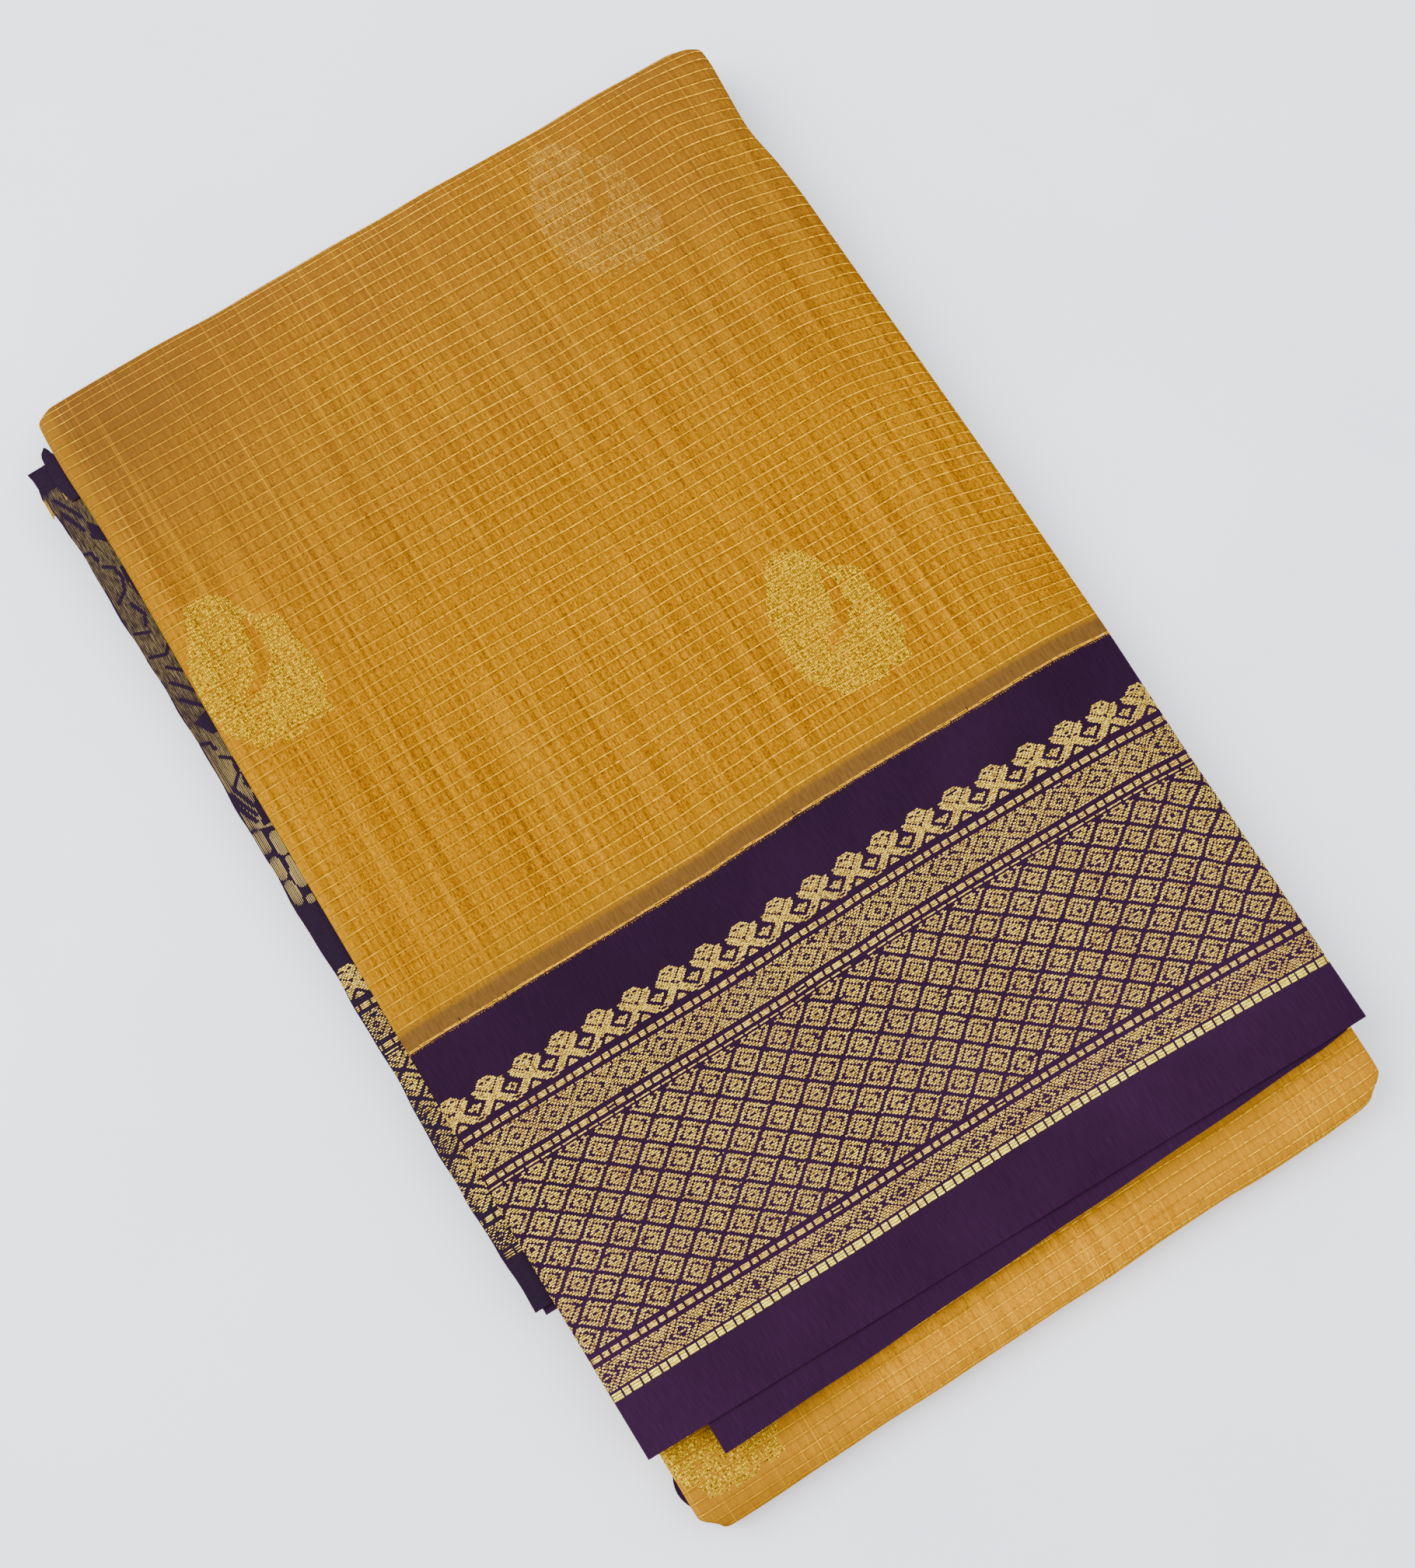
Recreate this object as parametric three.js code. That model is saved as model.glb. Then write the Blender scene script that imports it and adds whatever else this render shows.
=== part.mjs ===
// A cotton saree folded to a flat block, as it lies on a shelf. Millimetres, +Z up.
//
// The length of cloth is folded to and fro into 24 layers, which makes a soft band 258 mm wide.
// The band is then folded in three across its width. The base panel lies on the surface, the
// middle panel is turned back over it at the near fold, and the flap comes over both from the far
// fold and ends in the border. X runs across the band, Y from the border to the far fold.
// The origin is the middle of the box round the folded cloth, on the surface that it lies on.
import * as THREE from 'three';

// One panel of the band is a pressed stack of layers, and there is a little air between panels.
const STACK = 8.6;
const PANEL_GAP = 0.4;
const HEIGHT = 3 * STACK + 2 * PANEL_GAP;

// The outside layer is drawn thicker than the cloth, and keeps a small gap to what lies under it.
const CLOTH = 1.2;
const GAP = 0.3;
const SEAM_GAP = 0.3;

// The near fold turns the base panel into the middle one. The far fold turns it into the flap.
// Each is half an oval: reach along Y and half height in Z, round the line at its centre.
const NEAR = { side: -1, tipY: -234.5, reach: 14, half: STACK + PANEL_GAP / 2, corner: 5 };
const FAR = { side: 1, tipY: 188.8, reach: 20, half: HEIGHT / 2, corner: 4.5 };
const NEAR_Y = NEAR.tipY + NEAR.reach;
const FAR_Y = FAR.tipY - FAR.reach;
const FOLD_STEPS = 10;

// Neither fold is quite square to the band: each is further out at one side than at the other.
const FAR_SKEW = 4.6;
const NEAR_SKEW = 3.6;
const SKEW_REACH = 70;
const HALF_WIDTH = 129;

// The middle panel ends inside the far fold, with the other border of the cloth.
const MIDDLE_END_Y = 165;

// Edges of the cloth on the flap: its selvedge, and the join between the border and the body.
const FLAP_EDGE = { left: -205.9, right: -208.4 };
const JOIN_Y = -63.6;

// The next border under the flap sticks out past the selvedge, most at its left corner.
const SECOND_BORDER = { left: -107.5, right: 123, edgeLeft: -216.2, edgeRight: -208.9, backY: -166 };

// The base cloth comes up round the near fold and on under the flap as far as this.
const BASE_END_Y = -150;

// The cloth turns down at the sides of the band round a first soft fold.
const WRAP = { depth: 3.2, half: 2.2, turn: 115 * Math.PI / 180, steps: 5 };

// The corners of both folds are rounded off in plan over this much of their length.
const CORNER_REACH = 7;

// The folded stack isn't quite even across: it is fuller towards its right side, where it swells
// under the flap, and falls off to both side edges. Rise is a share of the height at each place.
const SWELL = [
  { x: -131, rise: -0.03 },
  { x: -104, rise: 0 },
  { x: -40, rise: 0 },
  { x: 10, rise: 0.01 },
  { x: 45, rise: 0.05 },
  { x: 75, rise: 0.105 },
  { x: 98, rise: 0.13 },
  { x: 112, rise: 0.11 },
  { x: 130, rise: -0.02 },
];
const ACROSS_XS = SWELL.slice(1, -1).map((row) => row.x);

// Side edges of the outside cloth, read along the flap.
const FLAP_SIDES = [
  { y: -210, left: -128.0, right: 129.2 },
  { y: -150, left: -128.9, right: 129.4 },
  { y: -110, left: -129.2, right: 129.2 },
  { y: -65, left: -129.3, right: 130.0 },
  { y: 0, left: -129.7, right: 129.6 },
  { y: 50, left: -130.0, right: 128.8 },
  { y: 90, left: -129.8, right: 127.9 },
  { y: 120, left: -129.6, right: 127.4 },
  { y: 135, left: -129.9, right: 126.2 },
  { y: 146, left: -130.3, right: 124.2 },
  { y: 158, left: -131.0, right: 125.2 },
  { y: 172, left: -131.0, right: 126.4 },
  { y: 190, left: -130.5, right: 127.4 },
];

// Side edges of the base and middle panels, which are a little narrower at the near fold.
const BASE_SIDES = [
  { y: -236, left: -124.6, right: 125.6 },
  { y: -200, left: -124.8, right: 126.2 },
  { y: -150, left: -126.5, right: 127.2 },
  { y: 0, left: -128.0, right: 127.8 },
  { y: 150, left: -129.4, right: 126.4 },
  { y: 190, left: -130.5, right: 127.4 },
];

// Layers that stick out beside the flap on its left: the pallu, one more under it, and a round
// tip of a third at the far end. Out is the edge that shows, inner is how far in each one goes.
const PALLU_OUTLINE = [
  { y: -151.2, out: -135.2, inner: -117 },
  { y: -128, out: -135.5, inner: -117 },
  { y: -112, out: -136.6, inner: -117 },
  { y: -88, out: -136.4, inner: -117 },
  { y: -60, out: -136.0, inner: -117 },
  { y: 0, out: -137.0, inner: -117 },
  { y: 75, out: -137.6, inner: -117 },
  { y: 90, out: -138.5, inner: -117 },
  { y: 120, out: -139.0, inner: -117 },
  { y: 146, out: -139.8, inner: -117 },
  { y: 156, out: -141.6, inner: -117 },
  { y: 162, out: -140.8, inner: -117 },
  { y: 167.5, out: -142.2, inner: -117 },
];
const UNDER_OUTLINE = [
  { y: -153.4, out: -132.8, inner: -117 },
  { y: -100, out: -133.4, inner: -117 },
  { y: 0, out: -133.6, inner: -117 },
  { y: 100, out: -135.0, inner: -117 },
  { y: 150, out: -136.0, inner: -117 },
];
const TIP_OUTLINE = [
  { y: 150, out: -133.2, inner: -129.0 },
  { y: 158, out: -135.2, inner: -129.0 },
  { y: 165, out: -135.6, inner: -129.4 },
  { y: 170, out: -135.4, inner: -131.4 },
  { y: 172.4, out: -134.6, inner: -131.8 },
  { y: 173.4, out: -133.6, inner: -132.4 },
];

// Depths below the outside of the band, for what lies between the layers at the left of the flap.
const DEPTHS = { tip: [3.4, 4.2], pallu: [4.5, 5.6], under: [5.9, 7.0] };

// A dark scrap of the layers inside shows at the left of the near fold, between its two panels.
const SCRAP = { out: -126.3, inner: -122.6, fromY: -224, toY: -211, thick: 1.0 };

// The folds that show in the side of the hidden stack, from the outside of the band inwards.
// Depth is how far the groove beside a fold runs in, reach is how far its nose stays back from
// the edge, and ahead is how far its layers run on at the flap's free end.
const SIDE_FOLDS = [
  { to: 4.2, depthLeft: 3.4, depthRight: 3.2, reachLeft: 2.1, reachRight: 2.1, ahead: -1.4 },
  { to: 7.3, depthLeft: 3.0, depthRight: 2.6, reachLeft: 1.3, reachRight: 0.7, ahead: 1.2 },
  { to: STACK, depthLeft: 2.6, depthRight: 3.0, reachLeft: 2.4, reachRight: 1.7, ahead: -0.2 },
];
const FOLD_POINTS = 4;
const SHALLOW_FOLD_TO = 3.2;
const POCKET_DEPTH = 14;
const POCKET_FROM_Y = -157;
const POCKET_TO_Y = 178;
const CORE_FRONT_Y = -204.4;
const CORE_ROUND = 1.1;

const COLOURS = {
  body: { color: 0xb9861f, roughness: 0.78, metalness: 0.1 },
  border: { color: 0x3d2342, roughness: 0.72, metalness: 0.1 },
  zari: { color: 0xb59a5a, roughness: 0.5, metalness: 0.4 },
  pallu: { color: 0x6a5a44, roughness: 0.6, metalness: 0.3 },
  layers: { color: 0xa87a24, roughness: 0.85, metalness: 0.0 },
};

function smooth(t) {
  const c = Math.min(1, Math.max(0, t));
  return c * c * (3 - 2 * c);
}

function mix(a, b, t) {
  return a + (b - a) * t;
}

// Reads one column of a short table at a place along the band, or across it.
function readRow(rows, column, at, key = 'y') {
  if (at <= rows[0][key]) return rows[0][column];
  for (let i = 1; i < rows.length; i += 1) {
    if (at <= rows[i][key]) {
      const t = (at - rows[i - 1][key]) / (rows[i][key] - rows[i - 1][key]);
      return mix(rows[i - 1][column], rows[i][column], t);
    }
  }
  return rows[rows.length - 1][column];
}

// A closed wall or stack, given as a block of steps across, through and along the cloth.
function closedBlock(name, colour, steps, place) {
  const [across, through, along] = steps;
  const numbers = new Map();
  const points = [];
  const corner = ([i, j, k]) => {
    const key = (i * (through + 1) + j) * (along + 1) + k;
    if (!numbers.has(key)) {
      numbers.set(key, points.length / 3);
      points.push(...place(i, j, k));
    }
    return numbers.get(key);
  };
  const faces = [];
  const quad = (...corners) => {
    const [a, b, c, d] = corners.map(corner);
    faces.push(a, b, c, a, c, d);
  };
  for (let j = 0; j < through; j += 1) {
    for (let k = 0; k < along; k += 1) {
      quad([0, j, k], [0, j, k + 1], [0, j + 1, k + 1], [0, j + 1, k]);
      quad([across, j, k], [across, j + 1, k], [across, j + 1, k + 1], [across, j, k + 1]);
    }
  }
  for (let i = 0; i < across; i += 1) {
    for (let k = 0; k < along; k += 1) {
      quad([i, 0, k], [i + 1, 0, k], [i + 1, 0, k + 1], [i, 0, k + 1]);
      quad([i, through, k], [i, through, k + 1], [i + 1, through, k + 1], [i + 1, through, k]);
    }
    for (let j = 0; j < through; j += 1) {
      quad([i, j, 0], [i, j + 1, 0], [i + 1, j + 1, 0], [i + 1, j, 0]);
      quad([i, j, along], [i + 1, j, along], [i + 1, j + 1, along], [i, j + 1, along]);
    }
  }
  const geometry = new THREE.BufferGeometry();
  geometry.setAttribute('position', new THREE.Float32BufferAttribute(points, 3));
  geometry.setIndex(signedVolume(points, faces) < 0 ? turnedOver(faces) : faces);
  geometry.computeVertexNormals();
  const mesh = new THREE.Mesh(geometry, new THREE.MeshStandardMaterial(COLOURS[colour]));
  mesh.name = name;
  return mesh;
}

function signedVolume(points, faces) {
  const [a, b, c] = [new THREE.Vector3(), new THREE.Vector3(), new THREE.Vector3()];
  let volume = 0;
  for (let f = 0; f < faces.length; f += 3) {
    a.fromArray(points, faces[f] * 3);
    b.fromArray(points, faces[f + 1] * 3);
    c.fromArray(points, faces[f + 2] * 3);
    volume += a.dot(b.cross(c)) / 6;
  }
  return volume;
}

function turnedOver(faces) {
  const result = [];
  for (let f = 0; f < faces.length; f += 3) result.push(faces[f], faces[f + 2], faces[f + 1]);
  return result;
}

// Stations on the outside line of the band, seen from its side. Each has the point, the way in
// (at right angles to the cloth) and the panel whose side edges hold there.
function flapStation(y) {
  return { y, z: HEIGHT, inY: 0, inZ: -1, sides: FLAP_SIDES, pull: 0 };
}

function underStation(y) {
  return { y, z: 0, inY: 0, inZ: 1, sides: BASE_SIDES, pull: 0 };
}

function middleStation(y) {
  return { y, z: 2 * NEAR.half, inY: 0, inZ: -1, sides: BASE_SIDES, pull: 0 };
}

function foldStation(fold, angle) {
  const outY = fold.side * Math.sin(angle);
  const outZ = Math.cos(angle);
  const short = fold.reach * (1 - Math.abs(outY));
  return {
    y: fold.tipY - fold.side * fold.reach + fold.reach * outY,
    z: fold.half + fold.half * outZ,
    inY: -outY,
    inZ: -outZ,
    sides: fold.side > 0 ? FLAP_SIDES : BASE_SIDES,
    pull: fold.corner * smooth(1 - short / CORNER_REACH),
  };
}

function farFold() {
  const stations = [];
  for (let k = 1; k < FOLD_STEPS; k += 1) stations.push(foldStation(FAR, Math.PI * k / FOLD_STEPS));
  return stations;
}

function nearFold() {
  const stations = [];
  for (let k = FOLD_STEPS - 1; k > 0; k -= 1) stations.push(foldStation(NEAR, Math.PI * k / FOLD_STEPS));
  return stations;
}

// The folds of the whole block lean a little: points near an end move with their place across.
function lean(x, y) {
  const across = x / HALF_WIDTH / 2;
  const far = smooth((y - (FAR.tipY - SKEW_REACH)) / SKEW_REACH);
  const near = smooth((NEAR.tipY + SKEW_REACH - y) / SKEW_REACH);
  return y + across * (FAR_SKEW * far + NEAR_SKEW * near);
}

function swollen(x, z) {
  return z * (1 + readRow(SWELL, 'rise', x, 'x'));
}

function pointAt(station, x, depth) {
  const y = station.y + station.inY * depth;
  return [x, lean(x, y), swollen(x, station.z + station.inZ * depth)];
}

function sidesAt(station) {
  return {
    left: readRow(station.sides, 'left', station.y) + station.pull,
    right: readRow(station.sides, 'right', station.y) - station.pull,
  };
}

// The outside cloth goes flat across the band and turns down at both sides round the first fold.
function wrapSection(station) {
  const { left, right } = sidesAt(station);
  const flatLeft = left + WRAP.depth;
  const flatRight = right - WRAP.depth;
  const rows = [];
  for (let k = WRAP.steps; k > 0; k -= 1) rows.push({ side: -1, angle: WRAP.turn * k / WRAP.steps });
  for (const x of [flatLeft, ...ACROSS_XS, flatRight]) rows.push({ side: 0, x });
  for (let k = 1; k <= WRAP.steps; k += 1) rows.push({ side: 1, angle: WRAP.turn * k / WRAP.steps });
  return rows.map((row) => (face) => {
    const inset = face * CLOTH;
    if (row.side === 0) return { x: row.x, depth: inset };
    const start = row.side < 0 ? flatLeft : flatRight;
    const x = start + row.side * (WRAP.depth - inset) * Math.sin(row.angle);
    return { x, depth: WRAP.half - (WRAP.half - inset) * Math.cos(row.angle) };
  });
}

function wrappedSheet(name, colour, stations) {
  const sections = stations.map(wrapSection);
  const steps = [sections[0].length - 1, 1, stations.length - 1];
  return closedBlock(name, colour, steps, (i, j, k) => {
    const { x, depth } = sections[k][i](j);
    return pointAt(stations[k], x, depth);
  });
}

// The free end of the flap runs at its own small angle across the band.
function flapEdgeY(x) {
  return mix(FLAP_EDGE.left, FLAP_EDGE.right, (x + HALF_WIDTH) / (2 * HALF_WIDTH));
}

const FLAP_BORDER_YS = [-185, -166, -150, -110, -85];
const FLAP_BODY_YS = [-20, 35, 85, 118, 132, 145, 157, FAR_Y];
const UNDER_YS = [120, 50, -20, -90, -150, -190, NEAR_Y];
const MIDDLE_YS = [NEAR_Y, -200, -175];

function flapBorder() {
  const ys = [FLAP_EDGE.left, ...FLAP_BORDER_YS, JOIN_Y - SEAM_GAP / 2];
  const mesh = wrappedSheet('flap_border', 'zari', ys.map(flapStation));
  const position = mesh.geometry.getAttribute('position');
  for (let p = 0; p < position.count; p += 1) {
    if (position.getY(p) < FLAP_BORDER_YS[0] - 1) position.setY(p, flapEdgeY(position.getX(p)));
  }
  return mesh;
}

function flapBody() {
  const stations = [JOIN_Y + SEAM_GAP / 2, ...FLAP_BODY_YS].map(flapStation);
  stations.push(...farFold(), underStation(FAR_Y));
  return wrappedSheet('flap_body', 'body', stations);
}

function baseBody() {
  const stations = [FAR_Y - SEAM_GAP, ...UNDER_YS].map(underStation);
  stations.push(...nearFold(), ...[...MIDDLE_YS, BASE_END_Y].map(middleStation));
  return wrappedSheet('base_body', 'body', stations);
}

function secondBorder() {
  const { left, right, edgeLeft, edgeRight, backY } = SECOND_BORDER;
  const xs = [left, ...ACROSS_XS.filter((x) => x > left && x < right), right];
  return closedBlock('second_border', 'border', [xs.length - 1, 1, 3], (i, j, k) => {
    const edgeY = mix(edgeLeft, edgeRight, (xs[i] - left) / (right - left));
    return [xs[i], mix(edgeY, backY, k / 3), swollen(xs[i], HEIGHT - CLOTH - GAP - j * CLOTH)];
  });
}

// A layer that sticks out at the left of the flap, from the rows of its outline.
function looseEdge(name, colour, outline, depths) {
  const stations = [];
  for (let row = 0; row < outline.length - 1; row += 1) {
    const pieces = Math.max(1, Math.ceil((outline[row + 1].y - outline[row].y) / 22));
    for (let k = 0; k < pieces; k += 1) {
      stations.push(flapStation(mix(outline[row].y, outline[row + 1].y, k / pieces)));
    }
  }
  stations.push(flapStation(outline[outline.length - 1].y));
  return closedBlock(name, colour, [2, 1, stations.length - 1], (i, j, k) => {
    const outer = readRow(outline, 'out', stations[k].y);
    const inner = readRow(outline, 'inner', stations[k].y);
    return pointAt(stations[k], mix(outer, inner, i / 2), depths[j]);
  });
}

function nearScrap() {
  const { out, inner, fromY, toY, thick } = SCRAP;
  const middle = STACK + PANEL_GAP / 2;
  return closedBlock('near_scrap', 'pallu', [1, 1, 6], (i, j, k) => {
    const t = k / 6;
    const bulge = Math.sin(Math.PI * mix(0.12, 0.88, t));
    const x = i === 0 ? mix(inner, out, bulge) - 0.4 : inner;
    return [x, lean(x, mix(fromY, toY, t)), swollen(x, middle + (j - 0.5) * thick)];
  });
}

// All the hidden layers are one soft stack that follows the whole band, with the folds of the
// layers as rounded ridges down both sides and their free ends as ridges at the front.
function coreTop(place) {
  if (place.kind === 'flap') return mix(CLOTH + GAP, 2 * (CLOTH + GAP), smooth((-163 - place.y) / 2));
  if (place.kind === 'middle') return mix(CLOTH + GAP, GAP, smooth((place.y - BASE_END_Y - 1) / 2));
  return CLOTH + GAP;
}

function pocketAt(place) {
  if (place.kind !== 'flap') return 0;
  return smooth((place.y - POCKET_FROM_Y + 3) / 2) * smooth((POCKET_TO_Y - place.y) / 2);
}

function coreLevels(place) {
  const pocket = pocketAt(place);
  const levels = [];
  let from = coreTop(place);
  SIDE_FOLDS.forEach((fold, number) => {
    const to = number === 0 ? mix(fold.to, SHALLOW_FOLD_TO, pocket) : fold.to;
    const half = (to - from) / 2;
    for (let p = 0; p <= FOLD_POINTS; p += 1) {
      const angle = Math.PI * p / FOLD_POINTS;
      const nose = 1 - Math.sin(angle);
      const inPocket = number === 1 ? pocket * POCKET_DEPTH : 0;
      levels.push({
        depth: from + half * (1 - Math.cos(angle)),
        left: fold.reachLeft + fold.depthLeft * nose + inPocket,
        right: fold.reachRight + fold.depthRight * nose,
        ahead: fold.ahead + CORE_ROUND * Math.sin(angle),
      });
    }
    from = to;
  });
  return levels;
}

const CORE_STEP_YS = [-185, -168, -165, -163, -160, -157];

function hiddenLayers() {
  const places = [];
  const add = (kind, stations) => stations.forEach((station) => places.push({ ...station, kind }));
  add('flap', [CORE_FRONT_Y, ...CORE_STEP_YS, -110, -60, ...FLAP_BODY_YS].map(flapStation));
  add('fold', farFold());
  add('under', [FAR_Y, ...UNDER_YS].map(underStation));
  add('fold', nearFold());
  add('middle', [...MIDDLE_YS, BASE_END_Y + 1, BASE_END_Y + 3, -40, 60, MIDDLE_END_Y].map(middleStation));
  const levels = places.map(coreLevels);
  const steps = [ACROSS_XS.length + 1, levels[0].length - 1, places.length - 1];
  return closedBlock('hidden_layers', 'layers', steps, (i, j, k) => {
    const level = levels[k][j];
    const { left, right } = sidesAt(places[k]);
    const xs = [left + level.left, ...ACROSS_XS, right - level.right];
    const [px, py, pz] = pointAt(places[k], xs[i], level.depth);
    if (k === 0) return [px, py - level.ahead, pz];
    if (k === steps[2]) return [px, py + CORE_ROUND * level.ahead / 2, pz];
    return [px, py, pz];
  });
}

const block = new THREE.Group();
block.add(
  flapBorder(),
  flapBody(),
  baseBody(),
  secondBorder(),
  looseEdge('pallu_edge', 'pallu', PALLU_OUTLINE, DEPTHS.pallu),
  looseEdge('pallu_under_edge', 'border', UNDER_OUTLINE, DEPTHS.under),
  looseEdge('pallu_tip', 'pallu', TIP_OUTLINE, DEPTHS.tip),
  nearScrap(),
  hiddenLayers(),
);

// The origin goes to the middle of the box round the cloth.
const box = new THREE.Box3().setFromObject(block);
block.position.set(-(box.min.x + box.max.x) / 2, -(box.min.y + box.max.y) / 2, -box.min.z);

const saree = new THREE.Group();
saree.add(block);

export default saree;
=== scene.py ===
import math

import bpy
import numpy as np
from mathutils import Matrix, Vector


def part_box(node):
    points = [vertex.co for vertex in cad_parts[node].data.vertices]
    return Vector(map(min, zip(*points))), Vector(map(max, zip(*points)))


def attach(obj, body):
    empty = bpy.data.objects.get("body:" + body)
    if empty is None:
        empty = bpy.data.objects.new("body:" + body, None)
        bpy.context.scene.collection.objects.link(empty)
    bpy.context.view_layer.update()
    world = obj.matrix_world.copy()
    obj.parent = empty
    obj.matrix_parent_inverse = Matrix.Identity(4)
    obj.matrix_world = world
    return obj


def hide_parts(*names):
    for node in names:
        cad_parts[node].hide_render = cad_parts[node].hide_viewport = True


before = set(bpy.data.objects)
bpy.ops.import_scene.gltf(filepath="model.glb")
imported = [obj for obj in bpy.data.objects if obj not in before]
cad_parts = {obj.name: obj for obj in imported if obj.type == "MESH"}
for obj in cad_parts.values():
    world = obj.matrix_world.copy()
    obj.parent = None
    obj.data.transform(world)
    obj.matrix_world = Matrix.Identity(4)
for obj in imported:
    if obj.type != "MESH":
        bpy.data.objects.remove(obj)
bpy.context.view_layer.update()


# The view. The folded saree was photographed from above at about arm's length,
# leaning a little to its near left corner, and turned by a third of a right angle.
MM = 0.001
block_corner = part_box("second_border")[0]
SHIFT = np.array([block_corner.x / MM + 107.5, block_corner.y / MM + 216.2])
VIEW_TILT = math.radians(13.38)
VIEW_TURN = math.radians(-31.377)
VIEW_DISTANCE = 761.3
AIM = np.array([-3.155, -34.8, 0.0])

toward_eye = np.array([
    math.sin(VIEW_TURN) * math.sin(VIEW_TILT),
    -math.cos(VIEW_TURN) * math.sin(VIEW_TILT),
    math.cos(VIEW_TILT),
])
view_right = np.array([math.cos(VIEW_TURN), math.sin(VIEW_TURN), 0.0])
view_up = np.cross(toward_eye, view_right)
EYE = AIM + toward_eye * VIEW_DISTANCE

camera_data = bpy.data.cameras.new("view_of_the_fold")
camera_data.lens = 53.55
camera_data.sensor_width = 36
camera = bpy.data.objects.new("view_of_the_fold", camera_data)
bpy.context.scene.collection.objects.link(camera)
eye_place = (EYE + [*SHIFT, 0]) * MM
camera.matrix_world = Matrix([
    [view_right[0], view_up[0], toward_eye[0], eye_place[0]],
    [view_right[1], view_up[1], toward_eye[1], eye_place[1]],
    [view_right[2], view_up[2], toward_eye[2], eye_place[2]],
    [0, 0, 0, 1],
])
bpy.context.scene.camera = camera


# Short functions that the materials share.
def linear(hex_colour):
    """An sRGB colour such as "e8e9ee" as the linear RGBA that a socket takes."""
    parts = [int(hex_colour[i:i + 2], 16) / 255 for i in (0, 2, 4)]
    return [p / 12.92 if p <= 0.04045 else ((p + 0.055) / 1.055) ** 2.4 for p in parts] + [1.0]


def add_node(tree, kind, inputs=None, stops=(), **settings):
    """Adds a node, sets its settings and colour stops, and fills or links its inputs."""
    node = tree.nodes.new(kind)
    for name, value in settings.items():
        setattr(node, name, value)
    if stops:
        marks = node.color_ramp.elements
        for mark, (position, tone) in ((marks[0], stops[0]), (marks[1], stops[-1])):
            mark.position, mark.color = position, linear(tone)
        for position, tone in stops[1:-1]:
            marks.new(position).color = linear(tone)
    for key, value in (inputs or {}).items():
        if isinstance(value, bpy.types.NodeSocket):
            tree.links.new(value, node.inputs[key])
        else:
            node.inputs[key].default_value = value
    return node


def new_material(name):
    """An empty material and its node tree."""
    material = bpy.data.materials.new(name)
    material.use_nodes = True
    material.node_tree.nodes.clear()
    return material, material.node_tree


def weave_place(tree):
    """The cloth's own coordinates, in metres across and along it."""
    return add_node(tree, "ShaderNodeUVMap", uv_map="weave").outputs["UV"]


def noise(tree, place, scale, detail, turn=0.0, roughness=0.5):
    """Noise with one scale, or with its own scales across and along the cloth and a turn."""
    if isinstance(scale, tuple):
        stretched = {"Vector": place, "Rotation": (0, 0, turn), "Scale": (*scale, 1)}
        place, scale = add_node(tree, "ShaderNodeMapping", stretched).outputs["Vector"], 1.0
    inputs = {"Vector": place, "Scale": scale, "Detail": detail, "Roughness": roughness}
    return add_node(tree, "ShaderNodeTexNoise", inputs).outputs["Fac"]


def ranged(tree, value, given, wanted):
    """A value moved from one range to another and held inside it."""
    inputs = {"Value": value, "From Min": given[0], "From Max": given[1], "To Min": wanted[0],
              "To Max": wanted[1]}
    return add_node(tree, "ShaderNodeMapRange", inputs).outputs["Result"]


def worked_out(tree, operation, *values):
    """The result of one operation on values."""
    return add_node(tree, "ShaderNodeMath", dict(enumerate(values)), operation=operation).outputs["Value"]


def toned(tree, value, stops):
    """A colour for each value, between stops."""
    return add_node(tree, "ShaderNodeValToRGB", {"Fac": value}, stops=stops).outputs["Color"]


def mixed(tree, share, first, second, blend="MIX"):
    """The first colour with a share of the second."""
    inputs = {"Factor": share, "A": first, "B": second}
    return add_node(tree, "ShaderNodeMix", inputs, data_type="RGBA", blend_type=blend).outputs["Result"]


def scaled(tree, colour, by):
    """A colour made lighter or darker by a factor."""
    inputs = {0: colour, "Scale": by}
    return add_node(tree, "ShaderNodeVectorMath", inputs, operation="SCALE").outputs["Vector"]


def bumped(tree, height, strength, distance):
    """The fine relief of a surface."""
    inputs = {"Height": height, "Strength": strength, "Distance": distance}
    return add_node(tree, "ShaderNodeBump", inputs).outputs["Normal"]


def finish_material(tree, colour, roughness, specular, metallic=0.0, normal=None):
    """The surface of a material, from its colour, its gloss and the relief on it."""
    inputs = {"Base Color": colour, "Roughness": roughness, "Specular IOR Level": specular,
              "Metallic": metallic}
    if normal is not None:
        inputs["Normal"] = normal
    shader = add_node(tree, "ShaderNodeBsdfPrincipled", inputs)
    add_node(tree, "ShaderNodeOutputMaterial", {"Surface": shader.outputs["BSDF"]})


# The white sheet that the saree lies on, and the soft light of a bright room. The sheet is
# bleached cotton, smoothed flat by hand: matt, very slightly blue, with the faint mottle of an
# ironed cloth.
white_sheeting, tree = new_material("bleached_cotton_sheeting")
floor_place = add_node(tree, "ShaderNodeTexCoord")
mottle = noise(tree, floor_place.outputs["Object"], 9.0, 3.0)
sheet_tone = toned(tree, mottle, [(0.3, "f0f3fa"), (0.75, "f9fbff")])
finish_material(tree, sheet_tone, 0.9, 0.2)

SHEET_HALF = 3000
floor_mesh = bpy.data.meshes.new("white_sheet")
floor_corners = [(-1, -1), (1, -1), (1, 1), (-1, 1)]
floor_points = [(x * SHEET_HALF * MM, y * SHEET_HALF * MM, 0) for x, y in floor_corners]
floor_mesh.from_pydata(floor_points, [], [(0, 1, 2, 3)])
floor_mesh.materials.append(white_sheeting)
floor = bpy.data.objects.new("white_sheet", floor_mesh)
bpy.context.scene.collection.objects.link(floor)

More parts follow.
